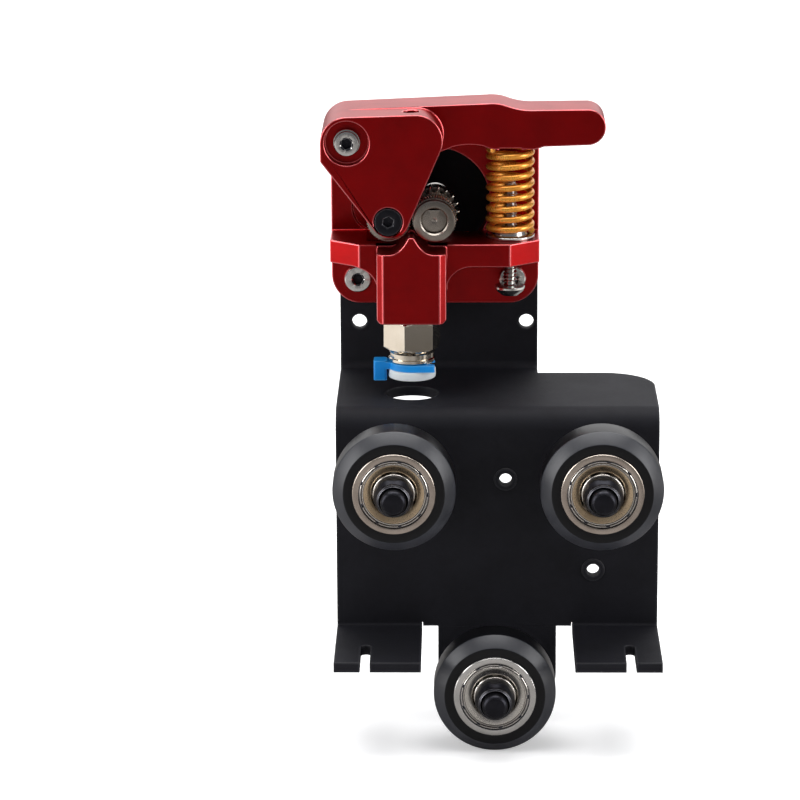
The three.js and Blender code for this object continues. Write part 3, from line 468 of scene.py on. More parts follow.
def finish(
    name, colour, second, metallic=0.0, roughness=0.4, grain=0.2, bump=0.003, patch=6.0, worn=None,
    wear=0.25, spread=0.08, lathe=None, coat=0.0, aniso=0.0, specular=0.5, streaks=None,
):
    """One material: two tones in patches, uneven roughness, grain or lathe marks as bump, and paler outer
    edges, partly rubbed and partly a painted highlight.
    """
    g = Graph(name)
    colour, second = shade(*colour), shade(*second)
    patches = g.noise(patch, 4.0)
    fine = g.noise(grain, 3.0)
    tone = g.maths("MULTIPLY", g.maths("SUBTRACT", patches, 0.3), 2.5, clamp=True)
    mixed = g.blend(tone, colour, second)
    if streaks:
        lines = g.stretched_noise(0.25, streaks)
        mixed = g.blend(g.maths("MULTIPLY", lines, 0.35), mixed, second)
    rough = g.maths("ADD", roughness - spread / 2, g.maths("MULTIPLY", fine, spread))
    rough = g.maths("ADD", rough, g.maths("MULTIPLY", patches, spread / 2))
    # Paler outer edges: partly rubbed, partly a painted highlight.
    if worn:
        edges = g.convex_edges(wear, 1.6)
        ragged = g.maths("MULTIPLY", edges, g.maths("ADD", 0.35, fine), clamp=True)
        mixed = g.blend(ragged, mixed, shade(*worn))
        rough = g.maths("SUBTRACT", rough, g.maths("MULTIPLY", ragged, roughness * 0.35), clamp=True)
    height = fine
    if lathe:
        height = g.maths("ADD", g.maths("MULTIPLY", fine, 0.4), g.rings(*lathe))
        tangent = g.add("Tangent", {"direction_type": "RADIAL", "axis": lathe[1]}).outputs[0]
        g.feed(g.surface.inputs["Tangent"], tangent)
    bumped = g.add("Bump", None, Strength=1.0, Distance=bump * MM, Height=height).outputs[0]
    values = {
        "Base Color": mixed,
        "Metallic": metallic,
        "Roughness": rough,
        "Normal": bumped,
        "Coat Weight": coat,
        "Coat Roughness": 0.22,
        "Coat IOR": 1.6,
        "Anisotropic": aniso,
        "Specular IOR Level": specular,
    }
    for socket, value in values.items():
        g.feed(g.surface.inputs[socket], value)
    g.material.diffuse_color = colour
    return g.material


def metal(name, colour, second, **look):
    return finish(name, colour, second, metallic=1.0, **look)


# The paler edge tones of the finishes below are partly rubbed edges and partly painted highlight.
RED = metal(
    "anodised_red", (174, 2, 6), (150, 1, 5), roughness=0.36, grain=0.12, bump=0.004,
    worn=(235, 90, 96), wear=0.3, coat=0.18, streaks=(40, 40, 1),
)
# A lighter, glossier copy of the red for the broken edges: a painted highlight.
RED_EDGE_HIGHLIGHT = metal("anodised_red_edge_highlight", (244, 112, 116), (232, 84, 90), roughness=0.26, grain=0.1, coat=0.8)
POWDER = finish(
    "powder_black", (24, 24, 30), (18, 18, 23), roughness=0.6, grain=0.22, bump=0.03, patch=9,
    worn=(58, 58, 62), wear=0.45, spread=0.16, specular=0.18,
)
# A lighter, glossier copy of the powder coat for the broken edges: a painted highlight.
POWDER_EDGE_HIGHLIGHT = finish(
    "powder_black_edge_highlight", (36, 36, 39), (28, 28, 31), roughness=0.42, grain=0.22, bump=0.02, spread=0.12,
)
TYRE_LOOK = {"lathe": (0.14, "Y"), "aniso": 0.3}
TYRE_BLACK = finish(
    "wheel_plastic", (9, 9, 12), (7, 7, 9), roughness=0.36, worn=(44, 46, 54), specular=0.3, **TYRE_LOOK,
)
# A lighter copy of the wheel plastic for the tyre's flanks: painted sheen.
TYRE_FLANK_SHEEN = finish(
    "wheel_plastic_flank_sheen", (50, 51, 56), (40, 41, 46), roughness=0.34, worn=(74, 76, 82), **TYRE_LOOK,
)
RACE = {"roughness": 0.22, "bump": 0.002, "lathe": (0.09, "Y"), "aniso": 0.5}
BEARING_STEEL = metal("bearing_steel", (204, 192, 180), (176, 162, 150), worn=(235, 228, 218), **RACE)
BEARING_PALE = metal("bearing_steel_pale", (228, 226, 222), (204, 202, 198), worn=(246, 245, 243), **RACE)
# Pale steel for the snap rings and the inner rings; on the shields' rolled rims it is a painted highlight.
SNAP_RING_AND_RIM_HIGHLIGHT = metal(
    "bearing_snap_ring_and_rim_highlight", (240, 234, 226), (222, 214, 204), roughness=0.24, bump=0.002,
    worn=(250, 247, 242), wear=0.2, lathe=(0.09, "Y"),
)
SHIELD = {"bump": 0.002, "wear": 0.2, "lathe": (0.11, "Y"), "aniso": 0.6}
SHIELD_TAN = metal(
    "bearing_shield", (236, 212, 178), (208, 182, 146), roughness=0.26, worn=(240, 228, 208), **SHIELD,
)
SHIELD_PALE = metal(
    "bearing_shield_pale", (236, 232, 224), (210, 205, 196), roughness=0.24, worn=(245, 242, 236), **SHIELD,
)
# Dark steel for screws and nuts; in key sockets and the bearings' seat grooves it is painted shade.
BLACK_OXIDE_AND_SHADE = finish(
    "black_oxide", (44, 44, 50), (32, 32, 36), metallic=0.9, roughness=0.32, grain=0.15, bump=0.004,
    worn=(196, 196, 202), wear=0.18, spread=0.14, lathe=(0.12, "Y"),
)
BRIGHT = {"roughness": 0.2, "worn": (246, 246, 244), "wear": 0.15, "aniso": 0.35}
STAINLESS = metal("stainless", (232, 230, 226), (210, 208, 204), lathe=(0.1, "Y"), **BRIGHT)
STAINLESS_UPRIGHT = metal("stainless_upright", (214, 212, 208), (188, 186, 182), lathe=(0.1, "Z"), **BRIGHT)
GEAR_STEEL = metal(
    "gear_steel", (172, 164, 155), (138, 130, 121), roughness=0.26, grain=0.15,
    worn=(226, 220, 210), wear=0.18, lathe=(0.1, "Y"), aniso=0.4,
)
NICKEL = metal(
    "nickel", (226, 218, 204), (206, 196, 180), roughness=0.13, grain=0.35, bump=0.004,
    worn=(248, 244, 236), wear=0.3, streaks=(1, 1, 30),
)
SPRING_GOLD = finish(
    "spring_steel", (252, 182, 74), (238, 154, 50), metallic=0.6, roughness=0.26, grain=0.3,
    bump=0.004, patch=2.5, worn=(250, 196, 110), wear=0.2, coat=0.3,
)
MOULDED = {"grain": 0.4, "bump": 0.004, "wear": 0.3}
BLUE = finish("blue_plastic", (8, 148, 232), (5, 132, 220), worn=(90, 178, 238), specular=0.3, **MOULDED)
WHITE = finish("white_plastic", (232, 238, 240), (216, 224, 226), worn=(250, 252, 252), **MOULDED)
ALUMINIUM = metal(
    "plain_aluminium", (190, 192, 196), (168, 170, 174), roughness=0.3, grain=0.15,
    worn=(232, 234, 236), lathe=(0.12, "Y"), aniso=0.4,
)


# ---------------- placing

def stand_for(obj, node, origin, materials):
    """Puts a finished mesh in place of a CAD node."""
    for i, material in enumerate(materials):
        if i < len(obj.data.materials):
            obj.data.materials[i] = material
        else:
            obj.data.materials.append(material)
    obj.name = f"fine_{node}"
    obj.data.name = obj.name
    obj.location = origin
    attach(obj, frame["nodes"][node]["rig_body"])
    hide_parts(node)
    return obj


def smooth_piece(body, node, origin, finishes, angle=32):
    soften(body.data, angle)
    return stand_for(body, node, origin, finishes)


def turned_piece(node, origin, finishes, slot, profile, angle=32, **how):
    """Turns a profile and puts the body in place of a CAD node."""
    return smooth_piece(turned(node, profile, **how), node, origin, finishes, angle)


def machined_piece(body, node, origin, finishes, slot, width, segments=2, **how):
    """Breaks the edges of a solid, whose new faces take the second finish, and puts it in place of a node. A
    second finish that is a lighter copy of the first paints a highlight along the edges.
    """
    while len(body.data.materials) < len(finishes):
        body.data.materials.append(None)
    chamfer(body, width, segments, **how)
    return stand_for(body, node, origin, finishes)


def middle(node):
    low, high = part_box(node)
    return (low + high) / 2


_, base_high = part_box("extruder_base")
gear_middle = middle("drive_gear")
EXTRUDER = Vector((gear_middle.x, base_high.y + CONTACT * MM, gear_middle.z))


def on_extruder(x, y, z):
    return EXTRUDER + Vector((x, y, z)) * MM


# ---------------- carriage plate

def plate_outline(flat):
    """The flat blank that the plate is bent from: x across, and the run along the sheet upwards."""
    half = flat.half
    tongue, corner = PLATE.tongue_half, PLATE.tongue_corner
    inner, relief = PLATE.tab_inner, PLATE.relief
    low = PLATE.tongue_bottom + corner
    right, shelf_corner = PLATE.upper_right, PLATE.shelf_corner
    top, top_corner = flat.top, PLATE.top_corner
    foot = [(-half, flat.tab_end), (-inner - relief, flat.tab_end), (-inner - relief, flat.foot)]
    foot += [(-inner, flat.foot), (-inner, PLATE.notch_top), (-tongue, PLATE.notch_top)]
    foot += arc(corner - tongue, low, corner, 180, 270)
    outline = foot + [(-x, run) for x, run in reversed(foot)]
    outline += arc(half - shelf_corner, flat.shelf_end - shelf_corner, shelf_corner, 0, 90)
    outline += [(right, flat.shelf_end)]
    outline += arc(right - top_corner, top - top_corner, top_corner, 0, 90)
    outline += arc(top_corner - half, top - top_corner, top_corner, 90, 180)
    return outline


def bend_sheet(mesh, flat):
    """Moves the flat blank's points, x across, y through and z along, to where the bends put them."""
    front, back, tab = PLATE.front_bend, PLATE.back_bend, PLATE.tab_bend
    for vertex in mesh.vertices:
        x, depth, run = (value / MM for value in vertex.co)
        y, z = depth - SHEET, run
        if run > flat.bend1 and run <= flat.shelf_start:
            angle = (run - flat.bend1) / (flat.shelf_start - flat.bend1) * math.pi / 2
            y = front - SHEET - (front - depth) * math.cos(angle)
            z = flat.bend1 + (front - depth) * math.sin(angle)
        elif run > flat.shelf_start and run <= flat.bend2:
            y = front - SHEET + run - flat.shelf_start
            z = PLATE.shelf_top - depth
        elif run > flat.bend2:
            angle = min(1, (run - flat.bend2) / (flat.rise - flat.bend2)) * math.pi / 2
            y = flat.back_centre + (back + depth) * math.sin(angle)
            z = PLATE.shelf_top + back - (back + depth) * math.cos(angle) + max(0, run - flat.rise)
        elif run < flat.foot and abs(x) > PLATE.tab_inner + PLATE.relief / 2:
            angle = min(1, (flat.foot - run) / (flat.foot - flat.tab_start)) * math.pi / 2
            y = -SHEET - tab + (tab + depth) * math.cos(angle) - max(0, flat.tab_start - run)
            z = flat.foot - (tab + depth) * math.sin(angle)
        vertex.co = Vector((x, y, z)) * MM


def carriage_plate():
    low, high = (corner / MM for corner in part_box("carriage_plate"))
    middle_bend = math.pi / 2 * (PLATE.front_bend - SHEET / 2)
    rise_bend = math.pi / 2 * (PLATE.back_bend + SHEET / 2)
    tab_bend = math.pi / 2 * (PLATE.tab_bend + SHEET / 2)
    flat = Sizes(half=(high.x - low.x) / 2, bend1=PLATE.shelf_top - PLATE.front_bend)
    flat.shelf_start = flat.bend1 + middle_bend
    upper_front = high.y - SHEET
    flat.back_centre = upper_front - PLATE.back_bend
    flat.bend2 = flat.shelf_start + flat.back_centre - (PLATE.front_bend - SHEET)
    flat.rise = flat.bend2 + rise_bend
    flat.top = flat.rise + high.z - PLATE.shelf_top - PLATE.back_bend
    shelf_run = flat.shelf_start - (PLATE.front_bend - SHEET)
    flat.shelf_end = shelf_run + PLATE.shelf_right_depth
    raised_run = flat.rise - PLATE.shelf_top - PLATE.back_bend
    flat.foot = PLATE.tab_top + PLATE.tab_bend
    flat.tab_start = flat.foot - tab_bend
    flat.tab_end = flat.tab_start + low.y + SHEET + PLATE.tab_bend

    blank = prism(plate_outline(flat), "Y", 0, SHEET)
    for x, z in PLATE.tapped:
        collar = [(0, 0.5), (PLATE.collar, 0.5), (PLATE.collar, -0.35), (0, -0.35)]
        combine(blank, "UNION", turned("collar", collar, segments=48, ease=0.2, offset=(x, z)))
    axles = [middle(f"{side}_wheel_tyre") / MM for side in ("left", "right")]
    motor = EXTRUDER / MM
    holes = [(axle.x, axle.z, PLATE.axle_hole) for axle in axles]
    holes += [(x, z, PLATE.tapped_hole) for x, z in PLATE.tapped]
    holes += [(0, LOWER_HOLE, PLATE.eccentric_hole)]
    holes += [(motor.x + FILAMENT[0], shelf_run + upper_front + FILAMENT[1], PLATE.tube_hole)]
    holes += [(x, raised_run + z, PLATE.spare_hole) for x, z in PLATE.spares]
    holes += [(motor.x, raised_run + motor.z, PLATE.shaft_hole)]
    holes += [(motor.x + x, raised_run + motor.z + z, PLATE.screw_hole) for x, z in MOTOR_SCREWS.values()]
    for x, z, radius in holes:
        combine(blank, "DIFFERENCE", rod(radius, -LAP, SHEET + LAP, x, z, 7.5))
    slot_end = flat.tab_start - (PLATE.slot_start - SHEET - PLATE.tab_bend)
    for side in (-1, 1):
        x, half = side * PLATE.slot_centre, PLATE.slot_width / 2
        slot = rounded(x - half, x + half, flat.tab_end - LAP, slot_end, 0.01, 0.01, half, half)
        combine(blank, "DIFFERENCE", prism(slot, "Y", -LAP, SHEET + LAP))
    tidy(blank)

    bm = bmesh.new()
    bm.from_mesh(blank.data)
    for start, end in [(flat.bend1, flat.shelf_start), (flat.bend2, flat.rise), (flat.tab_start, flat.foot)]:
        for level in steps(start, end, 10):
            everything = list(bm.verts) + list(bm.edges) + list(bm.faces)
            cut = {"plane_co": (0, 0, level * MM), "plane_no": (0, 0, 1)}
            bmesh.ops.bisect_plane(bm, geom=everything, dist=1e-7, **cut)
    bm.to_mesh(blank.data)
    bm.free()
    bend_sheet(blank.data, flat)
    finishes = [POWDER, POWDER_EDGE_HIGHLIGHT]
    machined_piece(blank, "carriage_plate", (0, 0, 0), finishes, "powder_black", 0.07, limit=35)


carriage_plate()


# ---------------- wheels

def bearing(node, origin, steel, shield):
    """Outer ring with two shields and their split snap rings, inner ring, and balls in a ribbon cage."""
    outer, width, land, inner = BEARING.outer, BEARING.width, BEARING.land, BEARING.inner
    race = (land + inner) / 2
    groove = arc(land + 0.25, width / 2, 0.9, 250, 110, 20)
    ring = bmesh.new()
    section = [(land, 0), (outer, 0), (outer, width), (land, width)] + groove[::-1]
    turn_into(ring, section, closed=True, ease=0.28)
    dish = [(6.3, 1.0), (6.2, 0.3), (5.76, 0.24), (4.7, 0.42), (4.48, 0.52)]
    dish += [(4.48, 0.72), (4.75, 0.64), (5.8, 0.5), (6.12, 1.0)]
    # The shields' rolled rims take the pale snap-ring steel: a painted highlight.
    rim = [(5.82, 0.28), (5.86, 0.12), (5.96, 0.06), (6.08, 0.08), (6.17, 0.2), (6.17, 0.32)]
    # The seat grooves take the black-oxide finish: painted shade in the grooves.
    seat = [(6.73, 0.55), (6.73, 0.8), (6.2, 0.8), (6.2, 0.55)]
    snap_radius, snap_wire, snap_lengths, snap_gap = 6.45, 0.13, 9, 0.06
    share = FULL / snap_lengths
    for face, inward in ((0, 1), (width, -1)):
        for slot, rows, ease in ((1, dish, 0.04), (2, rim, 0.0), (3, seat, 0.0)):
            turn_into(ring, [(r, face + inward * y) for r, y in rows], closed=True, ease=ease, slot=slot)
        for i in range(snap_lengths):
            angles = steps(i * share + snap_gap, (i + 1) * share - snap_gap, 10)
            wire_into(ring, [(a, snap_radius, face + inward * 0.2) for a in angles], snap_wire, slot=2)
    finishes = [steel, shield, SNAP_RING_AND_RIM_HIGHLIGHT, BLACK_OXIDE_AND_SHADE]
    smooth_piece(linked("ring", ring), f"{node}_outer_ring", origin, finishes)

    bore = BEARING.bore
    groove = arc(inner - 0.25, width / 2, 0.9, -70, 70, 20)
    section = [(bore, width), (bore, 0), (inner, 0)] + groove + [(inner, width)]
    turned_piece(f"{node}_inner_ring", origin, [SNAP_RING_AND_RIM_HIGHLIGHT], "bearing_steel", section, closed=True, ease=0.2)

    balls = bmesh.new()
    count, radius = BEARING.balls, BEARING.ball
    for i in range(count):
        angle = FULL * i / count
        centre = Vector(placed(race, width / 2, angle, "Y"))
        place = Matrix.Translation(centre)
        bmesh.ops.create_icosphere(balls, subdivisions=3, radius=radius * MM, matrix=place)
    for lift in (-1, 1):
        def ribbon(angle, lift=lift):
            return 0.28 + radius * 0.62 * max(0, math.cos(angle * count)) ** 0.6
        cage_into(balls, race, width / 2, lift, ribbon, across=0.62, thick=0.16)
    smooth_piece(linked("balls", balls), f"{node}_balls", origin, [STAINLESS], 40)


def cage_into(bm, radius, middle_y, side, height, across, thick, steps=96):
    """Half of a bearing cage: a ribbon that rises over each ball."""
    rows = []
    inside, outside = radius - across, radius + across
    for i in range(steps):
        angle = FULL * i / steps
        near = middle_y + side * height(angle)
        far = near + side * thick
        corners = [(inside, near), (outside, near), (outside, far), (inside, far)]
        rows.append([bm.verts.new(placed(r, y, angle, "Y")) for r, y in corners])
    join_rings(bm, rows[-1:] + rows)


def axle_screw_rows(length):
    """A button-head screw, its tip at along 0 and its head at the far end."""
    radius, pitch, head = AXLE.radius, AXLE.pitch, AXLE.head
    socket = hexagon(3)
    tip = [(0, 0), (1.85, 0), (2.0, 0.06), (2.38, 0.44), (radius, 0.6), (radius, 2.2)]
    screw = tip + thread(2.12, radius, pitch, 2.3, 14) + [(radius, 14.4), (radius, length)]
    dome = [(head, length + 0.02), (head, length + 0.7)]
    for t in (0.35, 0.7, 1.05, 1.4):
        dome.append((head - 2.1 * (1 - math.cos(t)), length + 0.7 + 1.9 * math.sin(t)))
    top = length + AXLE.head_height
    recess = [(capped_hexagon(3.2, 1.8), top), (socket, top - 0.15), (socket, top - 1.6), (0, top - 2)]
    return screw + dome + recess


def lock_nut_rows():
    """A hexagon nut with a domed collar that holds its locking ring. Along 0 is the collar's end."""
    height, flats, collar, skirt = AXLE.nut, AXLE.flats, AXLE.collar, AXLE.skirt
    bore = AXLE_BORE
    profile = [(bore, 0.35), (bore + 0.2, 0.1), (collar - 0.3, 0), (collar, 0.25), (collar, 0.75)]
    for i in range(6):
        share = i / 5
        profile.append((capped_hexagon(flats, collar + (skirt - collar) * share + 0.03), 0.9 + 1.4 * share))
    profile += [(capped_hexagon(flats, skirt), height - 0.3), (capped_hexagon(flats, skirt - 0.15), height)]
    return profile + [(bore, height)]


def wheel_spacer(side):
    """A tube between the plate and an upper wheel, its narrow end against the rear bearing."""
    node = f"{side}_wheel_spacer"
    (_, high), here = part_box(node), middle(node)
    near, far = -CONTACT, 3 * CONTACT - SPACER.length
    step, wide, narrow = far + SPACER.nose, SPACER.wide, SPACER.narrow
    rows = [(AXLE_BORE, near), (wide, near), (wide, step), (narrow, step), (narrow, far), (AXLE_BORE, far)]
    place = Vector((here.x, high.y + CONTACT * MM, here.z))
    turned_piece(node, place, [ALUMINIUM], "plain_aluminium", rows, closed=True, ease=0.2)


def wheel(name, steel, shield):
    low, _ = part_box(f"{name}_front_bearing_outer_ring")
    axle = middle(f"{name}_tyre")
    origin = Vector((axle.x, low.y, axle.z))
    span = 2 * BEARING.width + SHIM.thick
    centre, half, rim = span / 2, TYRE.width / 2, TYRE.rim / 2
    seat, rib, half_rib = TYRE.seat, TYRE.rib, SHIM.thick / 2 - CONTACT
    tyre = turned(
        "tyre",
        [
            (seat, centre - half), (TYRE.side, centre - half), (TYRE.outer, centre - rim),
            (TYRE.outer, centre + rim), (TYRE.side, centre + half), (seat, centre + half),
            (seat, centre + half_rib), (rib, centre + half_rib),
            (rib, centre - half_rib), (seat, centre - half_rib),
        ],
        closed=True, ease=0.22, segments=160,
    )
    soften(tyre.data, 25)
    # The flank faces take the lighter flank finish: painted sheen.
    for face in tyre.data.polygons:
        if 0.3 < abs(face.normal.y) < 0.95 and Vector((face.center.x, face.center.z)).length > TYRE.side * MM:
            face.material_index = 1
    stand_for(tyre, f"{name}_tyre", origin, [TYRE_BLACK, TYRE_FLANK_SHEEN])
    rear = origin + Vector((0, BEARING.width + SHIM.thick, 0)) * MM
    bearing(f"{name}_front_bearing", origin, steel, shield)
    bearing(f"{name}_rear_bearing", rear, steel, shield)

    shim_origin = origin + Vector((0, centre * MM, 0))
    rows = ring_section(SHIM.bore, SHIM.outer, -half_rib, half_rib)
    turned_piece(f"{name}_bearing_shim", shim_origin, [STAINLESS], "stainless", rows, closed=True, ease=0.12)

    screw_low, screw_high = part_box(f"{name}_axle_screw")
    rows = axle_screw_rows((screw_high.y - screw_low.y) / MM - AXLE.head_height)
    tip = Vector((axle.x, screw_low.y, axle.z))
    turned_piece(f"{name}_axle_screw", tip, [BLACK_OXIDE_AND_SHADE], "black_oxide", rows, 28, segments=72)

    nut_low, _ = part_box(f"{name}_axle_nut")
    place = Vector((axle.x, nut_low.y, axle.z))
    rows = lock_nut_rows()
    turned_piece(f"{name}_axle_nut", place, [BLACK_OXIDE_AND_SHADE], "black_oxide", rows, 28, closed=True)
    return axle


wheel("left_wheel", BEARING_STEEL, SHIELD_TAN)
wheel("right_wheel", BEARING_STEEL, SHIELD_TAN)
lower_axle = wheel("lower_wheel", BEARING_PALE, SHIELD_PALE)
wheel_spacer("left")
wheel_spacer("right")


def eccentric_spacer():
    """A hexagon whose boss turns in the plate, with the axle's bore off centre."""
    node = "eccentric_spacer"
    _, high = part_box(node)
    hole = Vector((0, high.y, LOWER_HOLE * MM))
    bore = (lower_axle - hole) / MM
    near = -SHEET - CONTACT - high.y / MM
    far = near - SPACER.length + 3 * CONTACT
    full, corner = hexagon(ECCENTRIC.flats), capped_hexagon(ECCENTRIC.flats, ECCENTRIC.corner)
    face = ECCENTRIC.face
    rows = [(0, near), (face, near), (corner, near - 0.35), (full, near - 0.8)]
    rows += [(full, far + 1.7), (corner, far + 1.3), (face, far + 1), (0, far + 1)]
    body = turned("eccentric", rows, turn=ECCENTRIC.turn)
    boss = turned("boss", ring_section(0, ECCENTRIC.boss, near - 0.1, 0), ease=0.15)
    shoulder = rod(ECCENTRIC.shoulder, far, far + 1.1, bore.x, bore.z)
    combine(body, "UNION", boss, shoulder)
    combine(body, "DIFFERENCE", rod(AXLE_BORE, far - LAP, LAP, bore.x, bore.z))
    smooth_piece(body, node, hole, [ALUMINIUM])


eccentric_spacer()


# ---------------- extruder base

def block_outline():
    """The fitting's block: a flat foot, and a peak between two saddles that clear the gears."""
    half, bottom, peak, shoulder = BLOCK.half, BLOCK.bottom, BLOCK.peak, BLOCK.shoulder
    axis = SPACING / 2
    saddle, top = (axis - 0.3, shoulder), (0.5, peak)
    side = [(half - 0.6, bottom), (half, bottom + 0.6), (half, shoulder), saddle]
    side += curve(saddle, (axis - 2.4, shoulder + 0.2), top)
    return [(FILAMENT[0] + x, z) for x, z in side + [(-x, z) for x, z in reversed(side)]]


def beam_outline():
    half, top, bottom, fillet = BASE.half, BEAM.top, BEAM.bottom, 5
    left, right = FILAMENT[0] - BLOCK.half, FILAMENT[0] + BLOCK.half
    outline = [(-half, bottom)] + arc(left - fillet, bottom - fillet, fillet, 90, 0)
    outline += arc(right + fillet, bottom - fillet, fillet, 180, 90)
    return outline + [(half, bottom), (half, top), (-half, top)]


def idler_centre(swing):
    """Where the idler's axis stands once the arm has been pressed through the angle in degrees."""
    across, down = -SPACING - PIVOT[0], -PIVOT[1]
    cosine, sine = math.cos(math.radians(swing)), math.sin(math.radians(swing))
    return (PIVOT[0] + cosine * across + sine * down, PIVOT[1] + cosine * down - sine * across)


def extruder_base():
    half, flange = BASE.half, BASE.flange
    front, across, deep = BEAM.front, BEAM.across, BEAM.deep
    body = prism(rounded(-half, half, -half, BASE.top, 6, 6, 2, 2), "Y", -flange, -CONTACT)
    plan = [(-half, LAP - flange), (-half, deep - front), (across - half, -front)]
    plan += [(half - across, -front), (half, deep - front), (half, LAP - flange)]
    beam = prism(beam_outline(), "Y", -front, LAP - flange)
    combine(beam, "INTERSECT", prism(plan, "Z", -half, half))
    left, right, edge = FILAMENT[0] - BLOCK.half, FILAMENT[0] + BLOCK.half, BLOCK.edge
    near, far = -BLOCK.front, -BLOCK.back
    plan = [(left + edge, near), (right - edge, near), (right, near + edge), (right, far), (left, far)]
    block = prism(block_outline(), "Y", near, far)
    combine(block, "INTERSECT", prism(plan + [(left, near + edge)], "Z", -half, half))
    web = box(left, right, far - LAP, LAP - flange, BLOCK.bottom + 2, BEAM.bottom + LAP)
    pivot_post = rod(BASE.post, ARM.front + 3.4, LAP - flange, *PIVOT)
    combine(body, "UNION", beam, block, web, pivot_post)
    below = BLOCK.bottom - LAP
    cuts = [rod(BASE.screw_recess, -flange - LAP, 2 - flange, MOTOR_HOLE, MOTOR_HOLE)]
    cuts += [rod(BASE.opening, -flange - LAP, LAP, 0, 0, 3)]
    for x, z in ((0, 0), idler_centre(0), idler_centre(SWING)):
        cuts.append(rod(GEAR.tip + 0.35, GEAR_Y.spur_front - 0.4, 0.5 - flange, x, z))
    cuts += [rod(PLATE.screw_hole, -flange - LAP, LAP, x, z) for x, z in MOTOR_SCREWS.values()]
    cuts += [rod(BASE.pivot_bore, ARM.front, LAP, *PIVOT)]
    cuts += [post(BASE.filament_bore, below, LAP, *FILAMENT, 10)]
    cuts += [post(BASE.fitting_bore, below, BLOCK.bottom + BASE.fitting_depth, *FILAMENT)]
    cuts += [post(BASE.tension_bore, BEAM.bottom - LAP, BEAM.top + LAP, SPRING.x, SPRING.y)]
    combine(body, "DIFFERENCE", *cuts)
    tidy(body)
    machined_piece(body, "extruder_base", EXTRUDER, [RED, RED_EDGE_HIGHLIGHT], "anodised_red", 0.22)


extruder_base()


# ---------------- tension arm

def cheek_outline():
    """The cheek in front of the idler gear: three round corners joined by their common tangents."""
    upper, idler = (-3.5, PIVOT[1] + 0.4, ARM.round), (-SPACING + 0.35, 0.7, 3.9)
    rise, flank = 91.7, -21.7
    right_side = math.degrees(math.atan2(upper[1] - idler[1], upper[0] - idler[0]))
    slope = math.degrees(math.atan2(PIVOT[1] - 3.8 - idler[1], flank - (idler[0] - idler[2])))
    outline = [(PIVOT[0] - ARM.round, PIVOT[1] - 3.6)] + arc(*idler, slope + 90, right_side + 270)
    return outline + arc(*upper, right_side - 90, rise) + arc(*PIVOT, ARM.round, rise, 180)


def lever_outline():
    """The lever from its pivot along the bar to the thumb end."""
    end = (30.1, 17.2, 3.55)
    outline = arc(*PIVOT, ARM.round, 180, 315) + [(-9.5, 11.9), (-1.5, 11.9)]
    outline += curve((-1.5, 11.9), (1.6, 12.3), (3.5, 13.3)) + curve((3.5, 13.3), (6.5, 14.1), (9.6, 13.5))
    outline += curve((9.6, 13.5), (10.6, 12.9), (12, 12.8), 5) + [(19.5, 12.8)]
    outline += curve((19.5, 12.8), (20.4, 12.9), (21.5, 13.35), 5) + arc(*end, 270, 450)
    outline += [(20, 20.65)] + curve((20, 20.65), (17.2, 20.5), (14.6, 21.4))
    outline += curve((14.6, 21.4), (12.6, 22.2), (10.4, 22)) + arc(*PIVOT, ARM.round, 91.7, 180)
    return outline


def tension_arm():
    front, back, bar_front = ARM.front, ARM.back, ARM.bar_front
    cheek_back, slot_back = ARM.cheek_back, ARM.slot_back
    body = prism(lever_outline(), "Y", bar_front, back)
    combine(body, "UNION", prism(cheek_outline(), "Y", front, back))
    spring = (SPRING.x, SPRING.y)
    cuts = [
        box(-SPACING - 5.6, 6, cheek_back, slot_back, -6, 7.4),  # the slot that the gears turn in
        rod(GEAR.tip + 0.6, cheek_back, slot_back, -SPACING, 0, 4),
        box(0.5, 6, front + 1, bar_front, -6, 10.2),  # room for the drive gear's front end
        post(SPRING.radius + SPRING.wire + 0.4, 12, SPRING.top + SPRING.wire + 0.1, *spring),
        post(ARM.tip_bore, 12, SPRING.top + 3, *spring),
        rod(ARM.pivot_bore, front + 3.2, 0, *PIVOT),
        rod(ARM.pivot_screw, front - LAP, 0, *PIVOT),
        rod(ARM.pivot_recess, front - LAP, front + 2.2, *PIVOT, 4),
        rod(ARM.idler_screw, front - LAP, back + LAP, -SPACING, 0),
        rod(ARM.idler_recess, front - LAP, front + 1, -SPACING, 0),
        post(ARM.filament_bore, 0, 30, *FILAMENT, 8),
    ]
    combine(body, "DIFFERENCE", *cuts)
    tidy(body)
    machined_piece(body, "tension_arm", EXTRUDER, [RED, RED_EDGE_HIGHLIGHT], "anodised_red", 0.22)


tension_arm()


# ---------------- gears

def spur(phase):
    """Radius of the spur teeth as a function of the angle."""
    teeth, tip, root = GEAR.teeth, GEAR.tip, GEAR.root

    def radius(angle):
        share = abs(((angle - phase) * teeth / FULL + 0.5) % 1 - 0.5)
        return tip - (tip - root) * min(1, max(0, (share - 0.055) / 0.215)) ** 0.85
    return radius


def hob(radius, depth, teeth=48):
    """Radius of the fine filament teeth as a function of the angle."""
    return lambda angle: radius - depth * abs(2 * ((angle * teeth / FULL) % 1) - 1)


def hob_rows(count=9):
    """The toothed band with its filament groove, from its front to its back."""
    front, back = GEAR_Y.hob_front, GEAR_Y.hob_back
    rows = []
    for y in steps(front, back, count):
        dip = max(0, 1 - abs(y - FILAMENT[1]) / 1.0)
        radius = GEAR.hob - (GEAR.hob - GEAR.throat) * math.sqrt(dip)
        rows.append((hob(radius, 0.22), y))
    return rows


